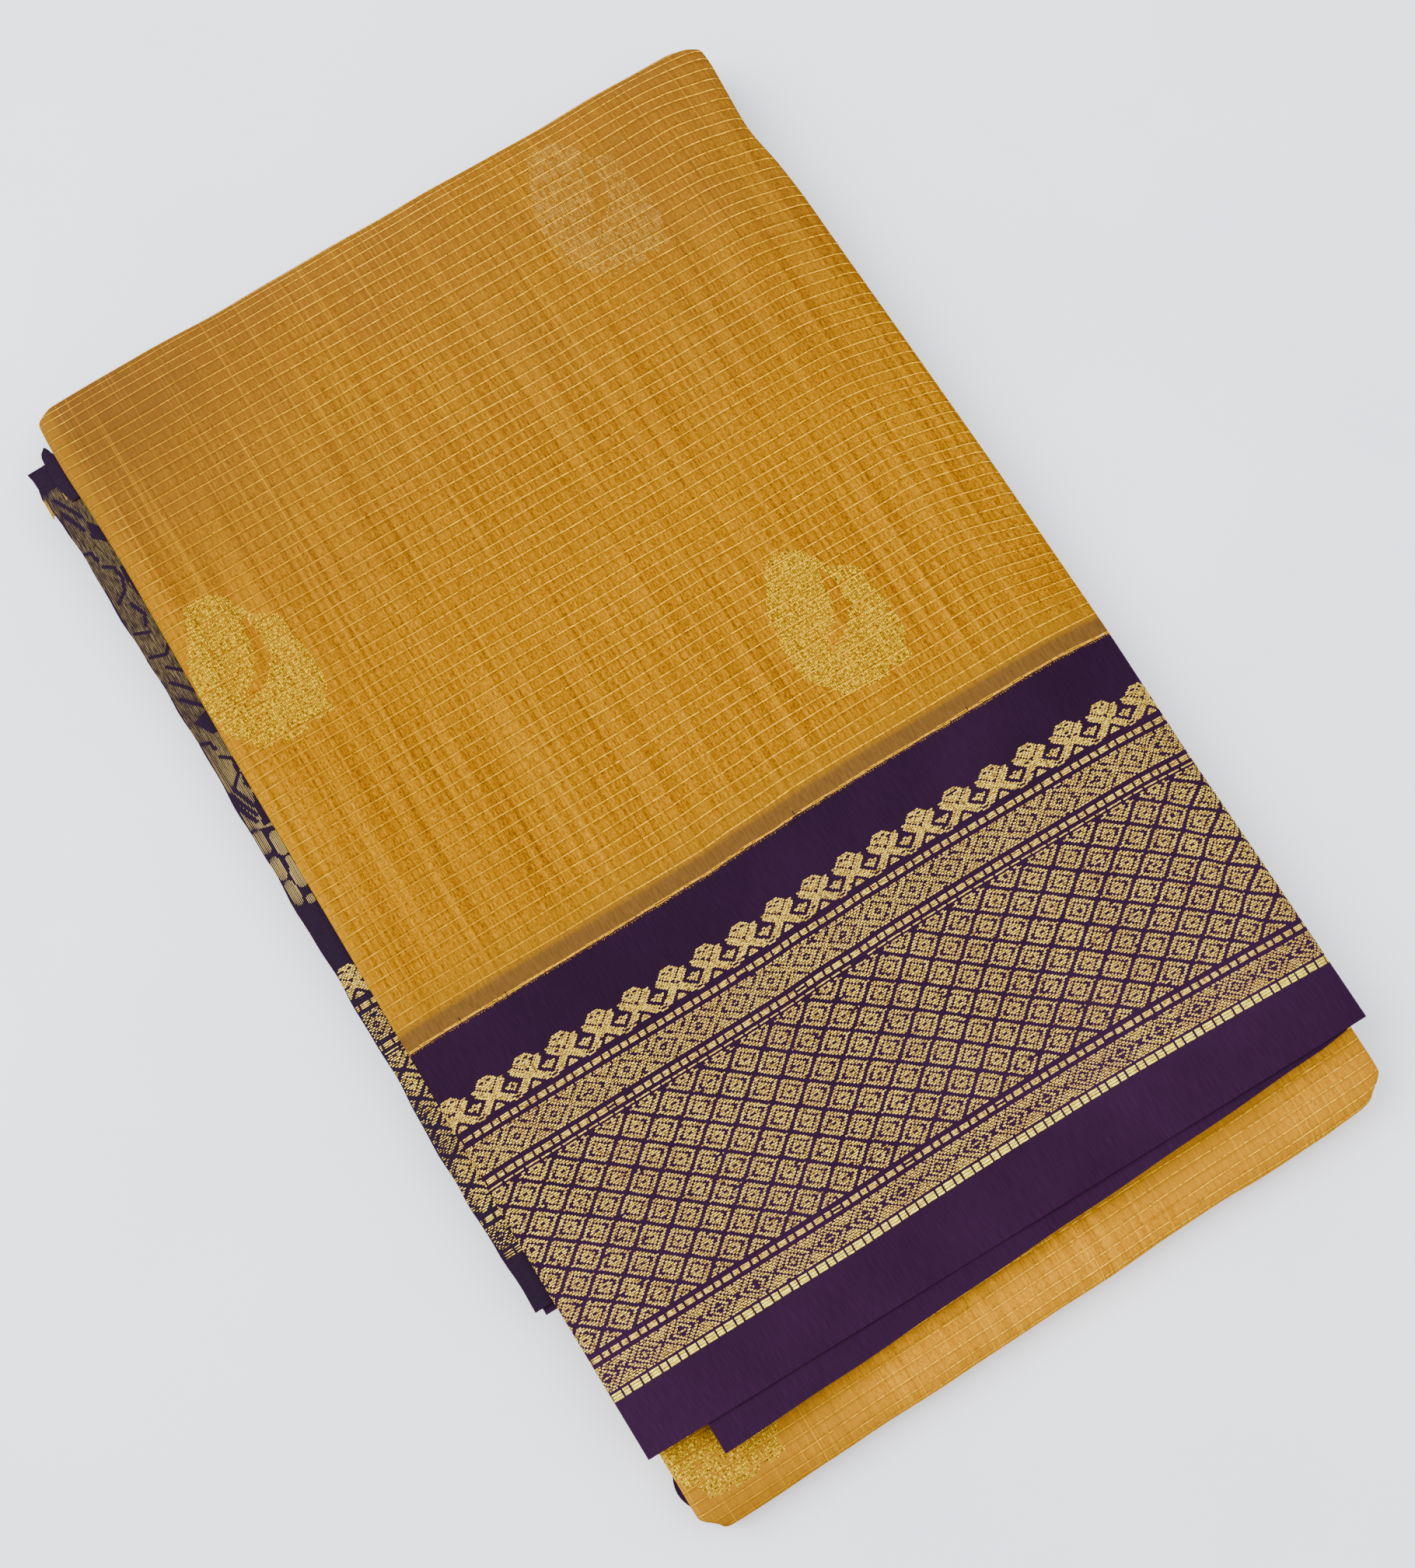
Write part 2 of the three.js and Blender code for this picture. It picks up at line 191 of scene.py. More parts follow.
room = bpy.data.worlds.new("bright_room")
room.use_nodes = True
room.node_tree.nodes["Background"].inputs["Color"].default_value = linear("f2f5ff")
room.node_tree.nodes["Background"].inputs["Strength"].default_value = 1.2
bpy.context.scene.world = room

SOFT_LIGHTS = [
    {"name": "window", "at": (-900, 700, 1500), "size": 1400, "watts": 50},
    {"name": "ceiling", "at": (500, -300, 1900), "size": 1600, "watts": 30},
]
for row in SOFT_LIGHTS:
    light_data = bpy.data.lights.new(row["name"], "AREA")
    light_data.shape = "DISK"
    light_data.size = row["size"] * MM
    light_data.energy = row["watts"]
    light = bpy.data.objects.new(row["name"], light_data)
    bpy.context.scene.collection.objects.link(light)
    spot_at = np.array(row["at"], float)
    out = spot_at / np.linalg.norm(spot_at)
    side = np.cross([0.0, 1.0, 0.0], out)
    side /= np.linalg.norm(side)
    over = np.cross(out, side)
    turn_and_place = [[side[i], over[i], out[i], spot_at[i] * MM] for i in range(3)]
    light.matrix_world = Matrix(turn_and_place + [[0, 0, 0, 1]])


# The gold body of the saree as it goes round the outside of the block: under it, round the
# near fold and back between the panels. The whole cloth is one length of fine handloom cotton,
# folded to and fro to a soft band 258 mm wide, and the band is folded in three.
STACK = 8.6
HEIGHT = 26.6
NEAR_FOLD = {"side": -1, "tip": -234.5, "reach": 14.0, "half": 8.8, "corner": 5.0}
FAR_FOLD = {"side": 1, "tip": 188.8, "reach": 20.0, "half": 13.3, "corner": 4.5}
NEAR_Y = NEAR_FOLD["tip"] + NEAR_FOLD["reach"]
FAR_Y = FAR_FOLD["tip"] - FAR_FOLD["reach"]
MIDDLE_END = 165.0
JOIN_MEAN = -63.9
BORDER_WIDE = 141.6
CORNER_REACH = 7.0
FAR_SKEW, NEAR_SKEW, SKEW_REACH, HALF_WIDTH = 4.6, 3.6, 70.0, 129.0

# Side edges of the flap and of the panels below it, and how full the stack is across the band.
FLAP_SIDES = {
    "y": [-210, -150, -110, -65, 0, 50, 90, 120, 135, 146, 158, 172, 190],
    "left": [
        -128.0, -128.9, -129.2, -129.3, -129.7, -130.0, -129.8, -129.6, -129.9, -130.3, -131.0, -131.0,
        -130.5,
    ],
    "right": [129.2, 129.4, 129.2, 130.0, 129.6, 128.8, 127.9, 127.4, 126.2, 124.2, 125.2, 126.4, 127.4],
}
BASE_SIDES = {
    "y": [-236, -200, -150, 0, 150, 190],
    "left": [-124.6, -124.8, -126.5, -128.0, -129.4, -130.5],
    "right": [125.6, 126.2, 127.2, 127.8, 126.4, 127.4],
}
SWELL = {
    "x": [-145, -131, -104, -40, 10, 45, 75, 98, 112, 130, 145],
    "rise": [-0.03, -0.03, 0.0, 0.0, 0.01, 0.05, 0.105, 0.13, 0.11, -0.02, -0.03],
}


def smooth(t):
    """A soft step from 0 to 1."""
    c = np.clip(t, 0, 1)
    return c * c * (3 - 2 * c)


def softened(values, step, reach):
    """A row of evenly spaced values with its corners rounded over a reach."""
    half = int(3 * reach / step)
    weights = np.exp(-0.5 * (np.arange(-half, half + 1) * step / reach) ** 2)
    padded = np.concatenate([np.full(half, values[0]), values, np.full(half, values[-1])])
    return np.convolve(padded, weights / weights.sum(), "valid")


SWELL_X = np.arange(-150, 150.5, 1.0)
SWELL_RISE = softened(np.interp(SWELL_X, SWELL["x"], SWELL["rise"]), 1.0, 5.0)


def swollen(x, z):
    """A height in an even stack, raised where the real one is fuller."""
    return z * (1 + np.interp(x, SWELL_X, SWELL_RISE))


def oval_arc(fold):
    """Angles round half an oval with the length of cloth up to each."""
    angle = np.linspace(0, math.pi, 81)
    y, z = fold["reach"] * np.sin(angle), fold["half"] * np.cos(angle)
    return angle, np.concatenate([[0], np.cumsum(np.hypot(np.diff(y), np.diff(z)))])


def band_line():
    """The outside line of the band from the flap's free end to the middle panel's, a row each mm of
    cloth: place along the cloth from the join, y, z, the way in, and both side edges."""
    rows = []
    flap_length = FAR_Y - JOIN_MEAN
    for w in np.arange(-BORDER_WIDE - 4, flap_length, 1.0):
        rows.append((w, JOIN_MEAN + w, HEIGHT, 0, -1, 1, 0))
    angle, arc = oval_arc(FAR_FOLD)
    for a, s in zip(angle, arc):
        pull = FAR_FOLD["corner"] * smooth(1 - FAR_FOLD["reach"] * (1 - math.sin(a)) / CORNER_REACH)
        rows.append((flap_length + s, FAR_Y + FAR_FOLD["reach"] * math.sin(a),
                     FAR_FOLD["half"] * (1 + math.cos(a)), -math.sin(a), -math.cos(a), 1, pull))
    w = flap_length + arc[-1]
    for step in np.arange(1.0, FAR_Y - NEAR_Y, 1.0):
        rows.append((w + step, FAR_Y - step, 0, 0, 1, 0, 0))
    w += FAR_Y - NEAR_Y
    angle, arc = oval_arc(NEAR_FOLD)
    for a, s in zip(angle[::-1], arc):
        pull = NEAR_FOLD["corner"] * smooth(1 - NEAR_FOLD["reach"] * (1 - math.sin(a)) / CORNER_REACH)
        rows.append((w + s, NEAR_Y - NEAR_FOLD["reach"] * math.sin(a),
                     NEAR_FOLD["half"] * (1 + math.cos(a)), math.sin(a), -math.cos(a), 0, pull))
    w += arc[-1]
    for step in np.arange(1.0, MIDDLE_END - NEAR_Y, 1.0):
        rows.append((w + step, NEAR_Y + step, 2 * NEAR_FOLD["half"], 0, -1, 0, 0))
    return np.array(rows, float)


LINE = band_line()
LINE_W, LINE_Y, LINE_Z, LINE_IN_Y, LINE_IN_Z, on_flap, corner_pull = LINE.T
even_w = np.arange(LINE_W[0], LINE_W[-1], 1.0)
SIDE_EDGES = {}
for side_name in ("left", "right"):
    flap_edge = np.interp(LINE_Y, FLAP_SIDES["y"], FLAP_SIDES[side_name])
    base_edge = np.interp(LINE_Y, BASE_SIDES["y"], BASE_SIDES[side_name])
    edge = np.where(on_flap > 0.5, flap_edge, base_edge)
    SIDE_EDGES[side_name] = softened(np.interp(even_w, LINE_W, edge), 1.0, 4.0)
CORNER_PULL = np.interp(even_w, LINE_W, corner_pull)
FAR_FOLD_W = (FAR_Y - JOIN_MEAN, FAR_Y - JOIN_MEAN + oval_arc(FAR_FOLD)[1][-1])
NEAR_FOLD_W = (
    FAR_FOLD_W[1] + FAR_Y - NEAR_Y, FAR_FOLD_W[1] + FAR_Y - NEAR_Y + oval_arc(NEAR_FOLD)[1][-1],
)
LAST_W = float(LINE_W[-1])

# The join of border and body, the bold row of dashes and the selvedge wander a little on the flap.
FLAP_ROWS = {
    "x": [-128, -115, -40, -20, -8, 5, 15, 40, 60, 75, 95, 110, 119, 126],
    "join": [
        -65.0, -64.7, -64.7, -64.6, -63.7, -63.5, -62.8, -62.5, -62.5, -62.5, -62.5, -62.7, -63.3,
        -63.9,
    ],
    "bold": [
        -186.7, -186.6, -186.5, -186.0, -185.8, -185.7, -185.6, -185.6, -185.9, -186.4, -187.1,
        -187.7, -188.1, -188.4,
    ],
}
FLAP_EDGE_Y = (-205.9, -208.4)
BOLD_V = 122.3


def cloth_y(x, w):
    """Where a point of the cloth lies along the band's line, with the flap's own wandering rows."""
    join = np.interp(x, FLAP_ROWS["x"], FLAP_ROWS["join"])
    bold = np.interp(x, FLAP_ROWS["x"], FLAP_ROWS["bold"])
    edge = FLAP_EDGE_Y[0] + (FLAP_EDGE_Y[1] - FLAP_EDGE_Y[0]) * (x + HALF_WIDTH) / (2 * HALF_WIDTH)
    v = -w
    above = join + (bold - join) * v / BOLD_V
    below = bold + (edge - bold) * (v - BOLD_V) / (BORDER_WIDE - BOLD_V)
    body = JOIN_MEAN + w + (join - JOIN_MEAN) * (1 - smooth(w / 110))
    return np.where(w > 0, body, np.where(v < BOLD_V, above, below))


def place(x, w, depth):
    """The point at x across the band, w along the cloth and depth below its outside, in metres.
    Plan places were read for a level top, so a fuller stack moves them a little towards the eye."""
    x, w, depth = np.broadcast_arrays(np.asarray(x, float), w, depth)
    wander = np.where(w < FAR_FOLD_W[0] - 2, cloth_y(x, w) - JOIN_MEAN, w)
    y = np.where(w < 0, JOIN_MEAN + wander, np.interp(wander, LINE_W, LINE_Y))
    z = np.interp(w, LINE_W, LINE_Z)
    y = y + np.interp(w, LINE_W, LINE_IN_Y) * depth
    z = z + np.interp(w, LINE_W, LINE_IN_Z) * depth
    far = smooth((y - (FAR_FOLD["tip"] - SKEW_REACH)) / SKEW_REACH)
    near = smooth((NEAR_FOLD["tip"] + SKEW_REACH - y) / SKEW_REACH) * (w > FAR_FOLD_W[0])
    y = y + x / HALF_WIDTH / 2 * (FAR_SKEW * far + NEAR_SKEW * near)
    full = swollen(x, z)
    toward = (full - z) / (EYE[2] - z)
    x = x + (EYE[0] - x) * toward
    y = y + (EYE[1] - y) * toward
    return np.stack([(x + SHIFT[0]) * MM, (y + SHIFT[1]) * MM, full * MM], -1)


# The outside cloth turns down at the sides of the band: tightly at the left, softly at the right.
SIDE_TURN = {"left": {"out": 3.2, "down": 2.2}, "right": {"out": 9.0, "down": 2.7}}
TURN_ANGLE = math.radians(118)
CLOTH_DEPTH = 0.16
CLOTH_THICK = 0.42

# Soft creases and puckers: where each one starts and ends on the cloth (x, w),
# how wide and deep it is. A ridge has a negative depth.
CREASES = [
    {"from": (-60, 10), "to": (-66, 215), "wide": 5.0, "deep": 0.28},
    {"from": (-12, 30), "to": (-2, 130), "wide": 7.0, "deep": 0.22},
    {"from": (22, 95), "to": (30, 238), "wide": 6.0, "deep": 0.34},
    {"from": (84, 6), "to": (88, 120), "wide": 8.0, "deep": 0.3},
    {"from": (-118, 170), "to": (-40, 232), "wide": 9.0, "deep": -0.4},
    {"from": (60, 205), "to": (126, 190), "wide": 7.0, "deep": 0.5},
    {"from": (96, 222), "to": (127, 214), "wide": 5.0, "deep": -0.45},
    {"from": (-126, 128), "to": (-96, 133), "wide": 4.0, "deep": 0.3},
    {"from": (-104, -10), "to": (-98, -138), "wide": 6.0, "deep": 0.25},
    {"from": (8, -20), "to": (4, -140), "wide": 9.0, "deep": 0.22},
    {"from": (66, -30), "to": (72, -141), "wide": 8.0, "deep": -0.25},
    {"from": (-100, 690), "to": (-30, 668), "wide": 6.0, "deep": 0.5},
    {"from": (20, 700), "to": (118, 716), "wide": 6.5, "deep": 0.6},
    {"from": (64, 686), "to": (112, 694), "wide": 5.0, "deep": -0.5},
    {"from": (-118, 300), "to": (-20, 330), "wide": 9.0, "deep": 0.3},
    {"from": (10, 420), "to": (24, 560), "wide": 8.0, "deep": 0.3},
]
SLOW_WAVES = [
    {"across": 61, "along": 210, "turn": 0.4, "deep": 0.16},
    {"across": 93, "along": 74, "turn": 1.9, "deep": 0.13},
    {"across": 33, "along": 150, "turn": 3.1, "deep": 0.07},
    {"across": 150, "along": 43, "turn": 5.0, "deep": 0.09},
]


def relief(x, w):
    """How far the cloth's face lies in from its even surface."""
    depth = np.zeros(np.broadcast(x, w).shape)
    for wave in SLOW_WAVES:
        turn = 2 * math.pi * (x / wave["across"] + w / wave["along"]) + wave["turn"]
        depth = depth + wave["deep"] * (1 + np.sin(turn))
    for crease in CREASES:
        start, end = np.array(crease["from"], float), np.array(crease["to"], float)
        length = np.hypot(*(end - start))
        ux, uw = (end - start) / length
        along = (x - start[0]) * ux + (w - start[1]) * uw
        off = (x - start[0]) * uw - (w - start[1]) * ux + 2.5 * np.sin(along / length * 5 + start[0])
        ends = smooth(along / (0.25 * length)) * smooth((length - along) / (0.25 * length))
        depth = depth + crease["deep"] * ends * np.exp(-(off / crease["wide"]) ** 2)
    under = (w > FAR_FOLD_W[1] - 6) & (w < NEAR_FOLD_W[0] + 6)
    return np.where(under, 0.0, np.maximum(depth, 0.0))


def edges_at(w):
    """The left and right side edge of the band at w along the cloth."""
    left = np.interp(w, even_w, SIDE_EDGES["left"] + CORNER_PULL)
    right = np.interp(w, even_w, SIDE_EDGES["right"] - CORNER_PULL)
    return left, right


def wrapped(e, w, lift):
    """A point on the outside cloth: e is measured across the cloth itself, round its turned sides,
    and lift stands off its face."""
    e, w, lift = np.broadcast_arrays(np.asarray(e, float), w, lift)
    left, right = edges_at(w)
    x = e.copy()
    depth = CLOTH_DEPTH - lift + relief(e, w)
    for name, sign, edge in (("left", -1, left), ("right", 1, right)):
        out, down = SIDE_TURN[name]["out"], SIDE_TURN[name]["down"]
        flat_end = edge - sign * out
        past = np.maximum(sign * (e - flat_end), 0)
        angle = np.minimum(past / ((out + down) / 2), TURN_ANGLE)
        turned = past > 0
        drop = CLOTH_DEPTH + down - (down + lift - CLOTH_DEPTH) * np.cos(angle)
        fade = np.cos(np.minimum(angle, math.pi / 2)) * relief(e, w)
        x = np.where(turned, flat_end + sign * (out + lift - CLOTH_DEPTH) * np.sin(angle), x)
        depth = np.where(turned, drop - CLOTH_DEPTH + fade, depth)
    return place(x, w, depth)


SIDE_DRAG = {"most": 12.5, "from_x": 97, "reach_x": 64, "from_w": 4, "reach_w": 45, "fade": 26}


def side_pull(x, w):
    """How far the cross threads are dragged towards the border by the full right side of the flap."""
    drag = SIDE_DRAG
    grown = smooth((x - drag["from_x"]) / drag["reach_x"]) * smooth((w - drag["from_w"]) / drag["reach_w"])
    return drag["most"] * grown * (1 - smooth((w - FAR_FOLD_W[0] - drag["from_w"]) / drag["fade"]))


def across_steps(w, flat_step=3.0, turn_steps=9):
    """Even steps across the cloth at w, closer together where it turns down at the sides."""
    left, right = edges_at(w)
    flat_left = left + SIDE_TURN["left"]["out"]
    flat_right = right - SIDE_TURN["right"]["out"]
    arc_left = TURN_ANGLE * (SIDE_TURN["left"]["out"] + SIDE_TURN["left"]["down"]) / 2
    arc_right = TURN_ANGLE * (SIDE_TURN["right"]["out"] + SIDE_TURN["right"]["down"]) / 2
    count = int(round(250 / flat_step))
    return np.concatenate([
        np.linspace(flat_left - arc_left, flat_left, turn_steps)[:-1],
        np.linspace(flat_left, flat_right, count),
        np.linspace(flat_right, flat_right + arc_right, turn_steps + 3)[1:],
    ])


def mesh_object(name, points, faces, uvs, material):
    """A finished mesh, with the cloth's own coordinates (metres) in the UV map named weave."""
    mesh = bpy.data.meshes.new(name)
    mesh.from_pydata(points, [], faces)
    layer = mesh.uv_layers.new(name="weave")
    loops = np.empty(len(mesh.loops), np.int32)
    mesh.loops.foreach_get("vertex_index", loops)
    layer.data.foreach_set("uv", np.asarray(uvs, np.float32)[loops].ravel())
    mesh.polygons.foreach_set("use_smooth", np.ones(len(mesh.polygons), bool))
    mesh.set_sharp_from_angle(angle=math.radians(55))
    mesh.materials.append(material)
    mesh.validate()
    piece = bpy.data.objects.new(name, mesh)
    bpy.context.scene.collection.objects.link(piece)
    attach(piece, "root")
    return piece


def closed_cloth(name, outer, inner, uvs, material):
    """A thin closed sheet from two grids of points (rows along the cloth, columns across it)."""
    rows, columns = outer.shape[:2]
    number = np.arange(rows * columns).reshape(rows, columns)
    below = rows * columns
    corners = (number[:-1, :-1], number[:-1, 1:], number[1:, 1:], number[1:, :-1])
    faces = []
    for a, b, c, d in zip(*(corner.ravel() for corner in corners)):
        faces.append((a, b, c, d))
        faces.append((a + below, d + below, c + below, b + below))
    rim = np.concatenate([number[0, :], number[1:, -1], number[-1, -2::-1], number[-2:0:-1, 0]])
    for a, b in zip(rim, np.roll(rim, -1)):
        faces.append((b, a, a + below, b + below))
    points = np.concatenate([outer.reshape(-1, 3), inner.reshape(-1, 3)])
    first = np.array([points[i] for i in faces[0]])
    face_up = np.cross(first[1] - first[0], first[2] - first[1]) @ (outer[0, 0] - inner[0, 0])
    if face_up < 0:
        faces = [f[::-1] for f in faces]
    return mesh_object(name, points, faces, np.concatenate([uvs.reshape(-1, 2)] * 2), material)


def wrapped_cloth(name, w_values, material, flat_step=3.0):
    """A stretch of the outside cloth, from one place along it to another."""
    e = np.array([across_steps(w, flat_step) for w in w_values])
    w = np.repeat(np.asarray(w_values, float)[:, None], e.shape[1], 1)
    uvs = np.stack([e * MM, (w + side_pull(e, w)) * MM], -1)
    return closed_cloth(name, wrapped(e, w, 0), wrapped(e, w, -CLOTH_THICK), uvs, material)


def along_steps(start, end, step):
    """Even steps along the cloth, closer together round the two folds."""
    marks = [start]
    while marks[-1] < end - 1e-6:
        w = marks[-1]
        in_fold = any(a - 4 <= w <= b + 2 for a, b in (FAR_FOLD_W, NEAR_FOLD_W))
        marks.append(min(end, w + (1.4 if in_fold else step)))
    return np.array(marks)


# Handloom cotton in gold: uneven yarns give fine streaks and slubs along both sets of threads, and
# a dry surface without gloss. The yarns are 0.27 mm thick with slubs of about 2 mm, and a paler
# warp shows here and there, 0.7 mm wide. Painted shade makes the far end a patchy brown and the far
# left corner darker; beside each zari line the cloth is darker, partly painted shade and partly the
# thinner cover there; painted light makes it lighter on the turned left side and at the near fold;
# and a brown twill runs along the join.
gold_cotton, tree = new_material("handloom_gold_cotton")
weave_uv = weave_place(tree)
long_streaks = noise(tree, weave_uv, (3700, 480), 3.0, roughness=0.6)
cross_streaks = noise(tree, weave_uv, (900, 3600), 2.0, roughness=0.6)
wide_streaks = noise(tree, weave_uv, (700, 9), 3.0, roughness=0.65)
streaks = worked_out(tree, "MULTIPLY_ADD", cross_streaks, 0.8, wide_streaks)
all_streaks = worked_out(tree, "MULTIPLY_ADD", long_streaks, 1.4, streaks)
half_streaks = worked_out(tree, "MULTIPLY", all_streaks, 0.3125)
yarn_tone = toned(tree, half_streaks, [(0.405, "5a3200"), (0.5, "8a5800"), (0.61, "b47c02")])
uv_parts = add_node(tree, "ShaderNodeSeparateXYZ", {"Vector": weave_uv}).outputs
patches = noise(tree, weave_uv, 16.0, 3.0)
# Painted shade: the far end of the cloth goes a patchy brown, and the far left corner darker.
far_part = ranged(tree, uv_parts["Y"], (0.10, 0.25), (0.0, 1.3))
far_shade_share = worked_out(tree, "MULTIPLY", far_part, patches)
far_painted_shade = mixed(tree, far_shade_share, yarn_tone, linear("6e481b"))
left_part = ranged(tree, uv_parts["X"], (-0.03, -0.125), (0.0, 0.75))
top_part = ranged(tree, uv_parts["Y"], (0.16, 0.24), (0.0, 1.0))
corner_shade_part = worked_out(tree, "MULTIPLY", left_part, top_part)
corner = mixed(tree, corner_shade_part, far_painted_shade, linear("5c3c1c"))
warp_noise = noise(tree, weave_uv, (1400, 7), 2.0, roughness=0.7)
bright_warp = ranged(tree, warp_noise, (0.58, 0.70), (0.0, 0.34))
with_warps = mixed(tree, bright_warp, corner, linear("c48c0c"))
# Painted light: the cloth is made lighter where it turns down at the left side.
turned_part = ranged(tree, uv_parts["X"], (-0.1225, -0.1275), (0.0, 0.3))
left_turn_painted_light = mixed(tree, turned_part, with_warps, linear("a87404"))
# Darker beside each zari line: partly painted shade, partly the thinner cover there.
from_line = worked_out(tree, "SUBTRACT", uv_parts["Y"], 0.0076)
line_gap = worked_out(tree, "PINGPONG", from_line, 0.002075)
line_cover_and_shade = ranged(tree, line_gap, (0.0003, 0.001), (0.8, 1.03))
# Painted light: the cloth at the near fold is made lighter.
near_light_part = ranged(tree, uv_parts["Y"], (0.45, 0.62), (0.0, 1.0))
near_fold_painted_light = mixed(tree, near_light_part, left_turn_painted_light, (2.15, 2.2, 0.6, 1), blend="MULTIPLY")
lighter = scaled(tree, near_fold_painted_light, line_cover_and_shade)
join_part = ranged(tree, uv_parts["Y"], (0.022, 0.004), (0.0, 0.5))
paler = mixed(tree, join_part, lighter, linear("7f5a14"))
twill_part = ranged(tree, uv_parts["Y"], (0.0074, 0.0052), (0.0, 0.85))
twill_noise = noise(tree, weave_uv, (1300, 240), 2.0, turn=0.7)
twill_tone = mixed(tree, twill_noise, linear("3c2816"), linear("6e4e28"))
body_colour = mixed(tree, twill_part, paler, twill_tone)
cotton_bump = bumped(tree, all_streaks, 0.5, 0.0002)
finish_material(tree, body_colour, 0.85, 0.0, normal=cotton_bump)

BASE_FROM_W = FAR_FOLD_W[1] + 0.3
base_cloth = wrapped_cloth(
    "base_cloth", along_steps(BASE_FROM_W, LAST_W - 2, 4.0), gold_cotton,
)
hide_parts("base_body")


# The body of the cloth on the flap, from the border's join up over the far fold to the underside.
# It is the same gold cotton, and the part of it that the eye meets first.
flap_cloth = wrapped_cloth(
    "flap_cloth", along_steps(0.3, FAR_FOLD_W[1], 2.6), gold_cotton, flat_step=2.6,
)
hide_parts("flap_body")


# Fine zari lines, one metal-wrapped yarn every few millimetres across the whole body. They are
# woven in with the cotton, lie slightly proud of it and break up into short bright dashes.
END_LIFT = 0.45
THREAD_SUNK = 0.02


def thread_runs(rows, at, wide, high, longest):
    """Flat threads that float on the cloth. Each run is (line, start, end): the line it lies on
    and where it starts and ends along it. Places come from at(along, line, lift), and longest
    is the longest straight piece of a run, or a function that gives it for each run."""
    points, faces, uvs = [], [], []
    runs = np.asarray(rows, float)
    step = longest(runs) if callable(longest) else longest
    counts = np.maximum(2, np.ceil((runs[:, 2] - runs[:, 1]) / step)).astype(int)
    base = 0
    for count in np.unique(counts):
        chosen = runs[counts == count]
        share = np.linspace(0, 1, count + 1)[None, :, None]
        along = chosen[:, 1, None, None] + (chosen[:, 2] - chosen[:, 1])[:, None, None] * share
        off = np.array([-0.5, 0.0, 0.5])[None, None, :] * wide
        line = chosen[:, 0, None, None] + off + 0 * along
        along = along + 0 * off
        lift = np.array([0.0, 1.0, 0.0])[None, None, :] * high + 0 * line
        lift[:, [0, -1], :] *= END_LIFT
        spots = at(along, line, lift - THREAD_SUNK)
        many, stations = spots.shape[:2]
        points.append(spots.reshape(-1, 3))
        uvs.append(np.stack([along * MM, line * MM], -1).reshape(-1, 2))
        number = base + np.arange(many * stations * 3).reshape(many, stations, 3)
        for k in (0, 1):
            quads = np.stack(
                [number[:, :-1, k], number[:, 1:, k], number[:, 1:, k + 1], number[:, :-1, k + 1]],
                -1,
            )
            faces.append(quads.reshape(-1, 4))
        base += many * stations * 3
    return np.concatenate(points), np.concatenate(faces), np.concatenate(uvs)


def lay_threads(name, rows, at, wide, high, material, longest):
    """The threads of one piece, joined in a mesh whose faces look away from the cloth."""
    points, faces, uvs = thread_runs(rows, at, wide, high, longest)
    line, start = np.array(rows[0][0]), np.array(rows[0][1])
    outward = at(start, line, np.array(1.0)) - at(start, line, np.array(0.0))
    sample = faces[:400]
    votes = np.cross(
        points[sample[:, 1]] - points[sample[:, 0]], points[sample[:, 2]] - points[sample[:, 1]],
    )
    if (votes @ outward).sum() < 0:
        faces = faces[:, ::-1]
    return mesh_object(name, points, faces.tolist(), uvs, material)


# Zari is a gold metal strip wound on yarn: bright and warm along its length, with small painted
# glints about 1 mm apart where the winding turns, and a duller brown between them and towards the left.
zari_line, tree = new_material("zari_yarn_pale_gold")
thread_uv = weave_place(tree)
glints = noise(tree, thread_uv, (900, 900), 2.0)
line_tone = toned(tree, glints, [(0.35, "a86e00"), (0.62, "ffc222")])
# A painted highlight where the lines come up over the turned left side, and painted shade past the turn.
thread_parts = add_node(tree, "ShaderNodeSeparateXYZ", {"Vector": thread_uv}).outputs
left_dull = ranged(tree, thread_parts["X"], (-0.01, -0.11), (0.0, 0.7))
duller = mixed(tree, left_dull, line_tone, linear("a06a08"))
# Painted highlight at the turn, then painted shade past it.
past_turn = ranged(tree, thread_parts["X"], (-0.1206, -0.1226), (0.0, 0.5))
turn_painted_highlight = mixed(tree, past_turn, duller, linear("ffc62c"))
past_turn_shade = ranged(tree, thread_parts["X"], (-0.1236, -0.1248), (0.0, 0.5))
line_colour = mixed(tree, past_turn_shade, turn_painted_highlight, linear("a87002"))
finish_material(tree, line_colour, 0.42, 0.02, metallic=0.15)

LINE_PITCH = 4.15
FIRST_LINE_W = 7.6
LINE_WIDE = 0.4
LINE_HIGH = 0.12


def body_at(along, line, lift):
    """Where a zari line of the body lies: a hand-beaten weft, never quite straight."""
    number = np.round((line - FIRST_LINE_W) / LINE_PITCH)
    sway = 0.22 * np.sin(along / 23 + number * 1.7) + 0.12 * np.sin(along / 9.5 + number * 0.9)
    return wrapped(along, line + sway - side_pull(along, line), lift)


def turn_aware(runs):
    """Short steps where a thread goes round a side of the band, longer ones on the flat."""
    return np.where((runs[:, 1] < -124) | (runs[:, 2] > 112), 1.6, 3.0)


def line_rows(start_w, end_w, rng):
    """Zari lines from side to side of the cloth, each in runs with a small gap between them."""
    rows = []
    for w in np.arange(start_w, end_w, LINE_PITCH):
        ends = across_steps(w)[[0, -1]]
        mark = ends[0]
        while mark < ends[1]:
            run = rng.uniform(12, 60)
            stop = min(mark + run, ends[1])
            if stop - mark > 1:
                rows.append((w + rng.normal(0, 0.05), mark, stop))
            mark = stop + rng.choice([0.15, 0.25, 0.5])
    return rows


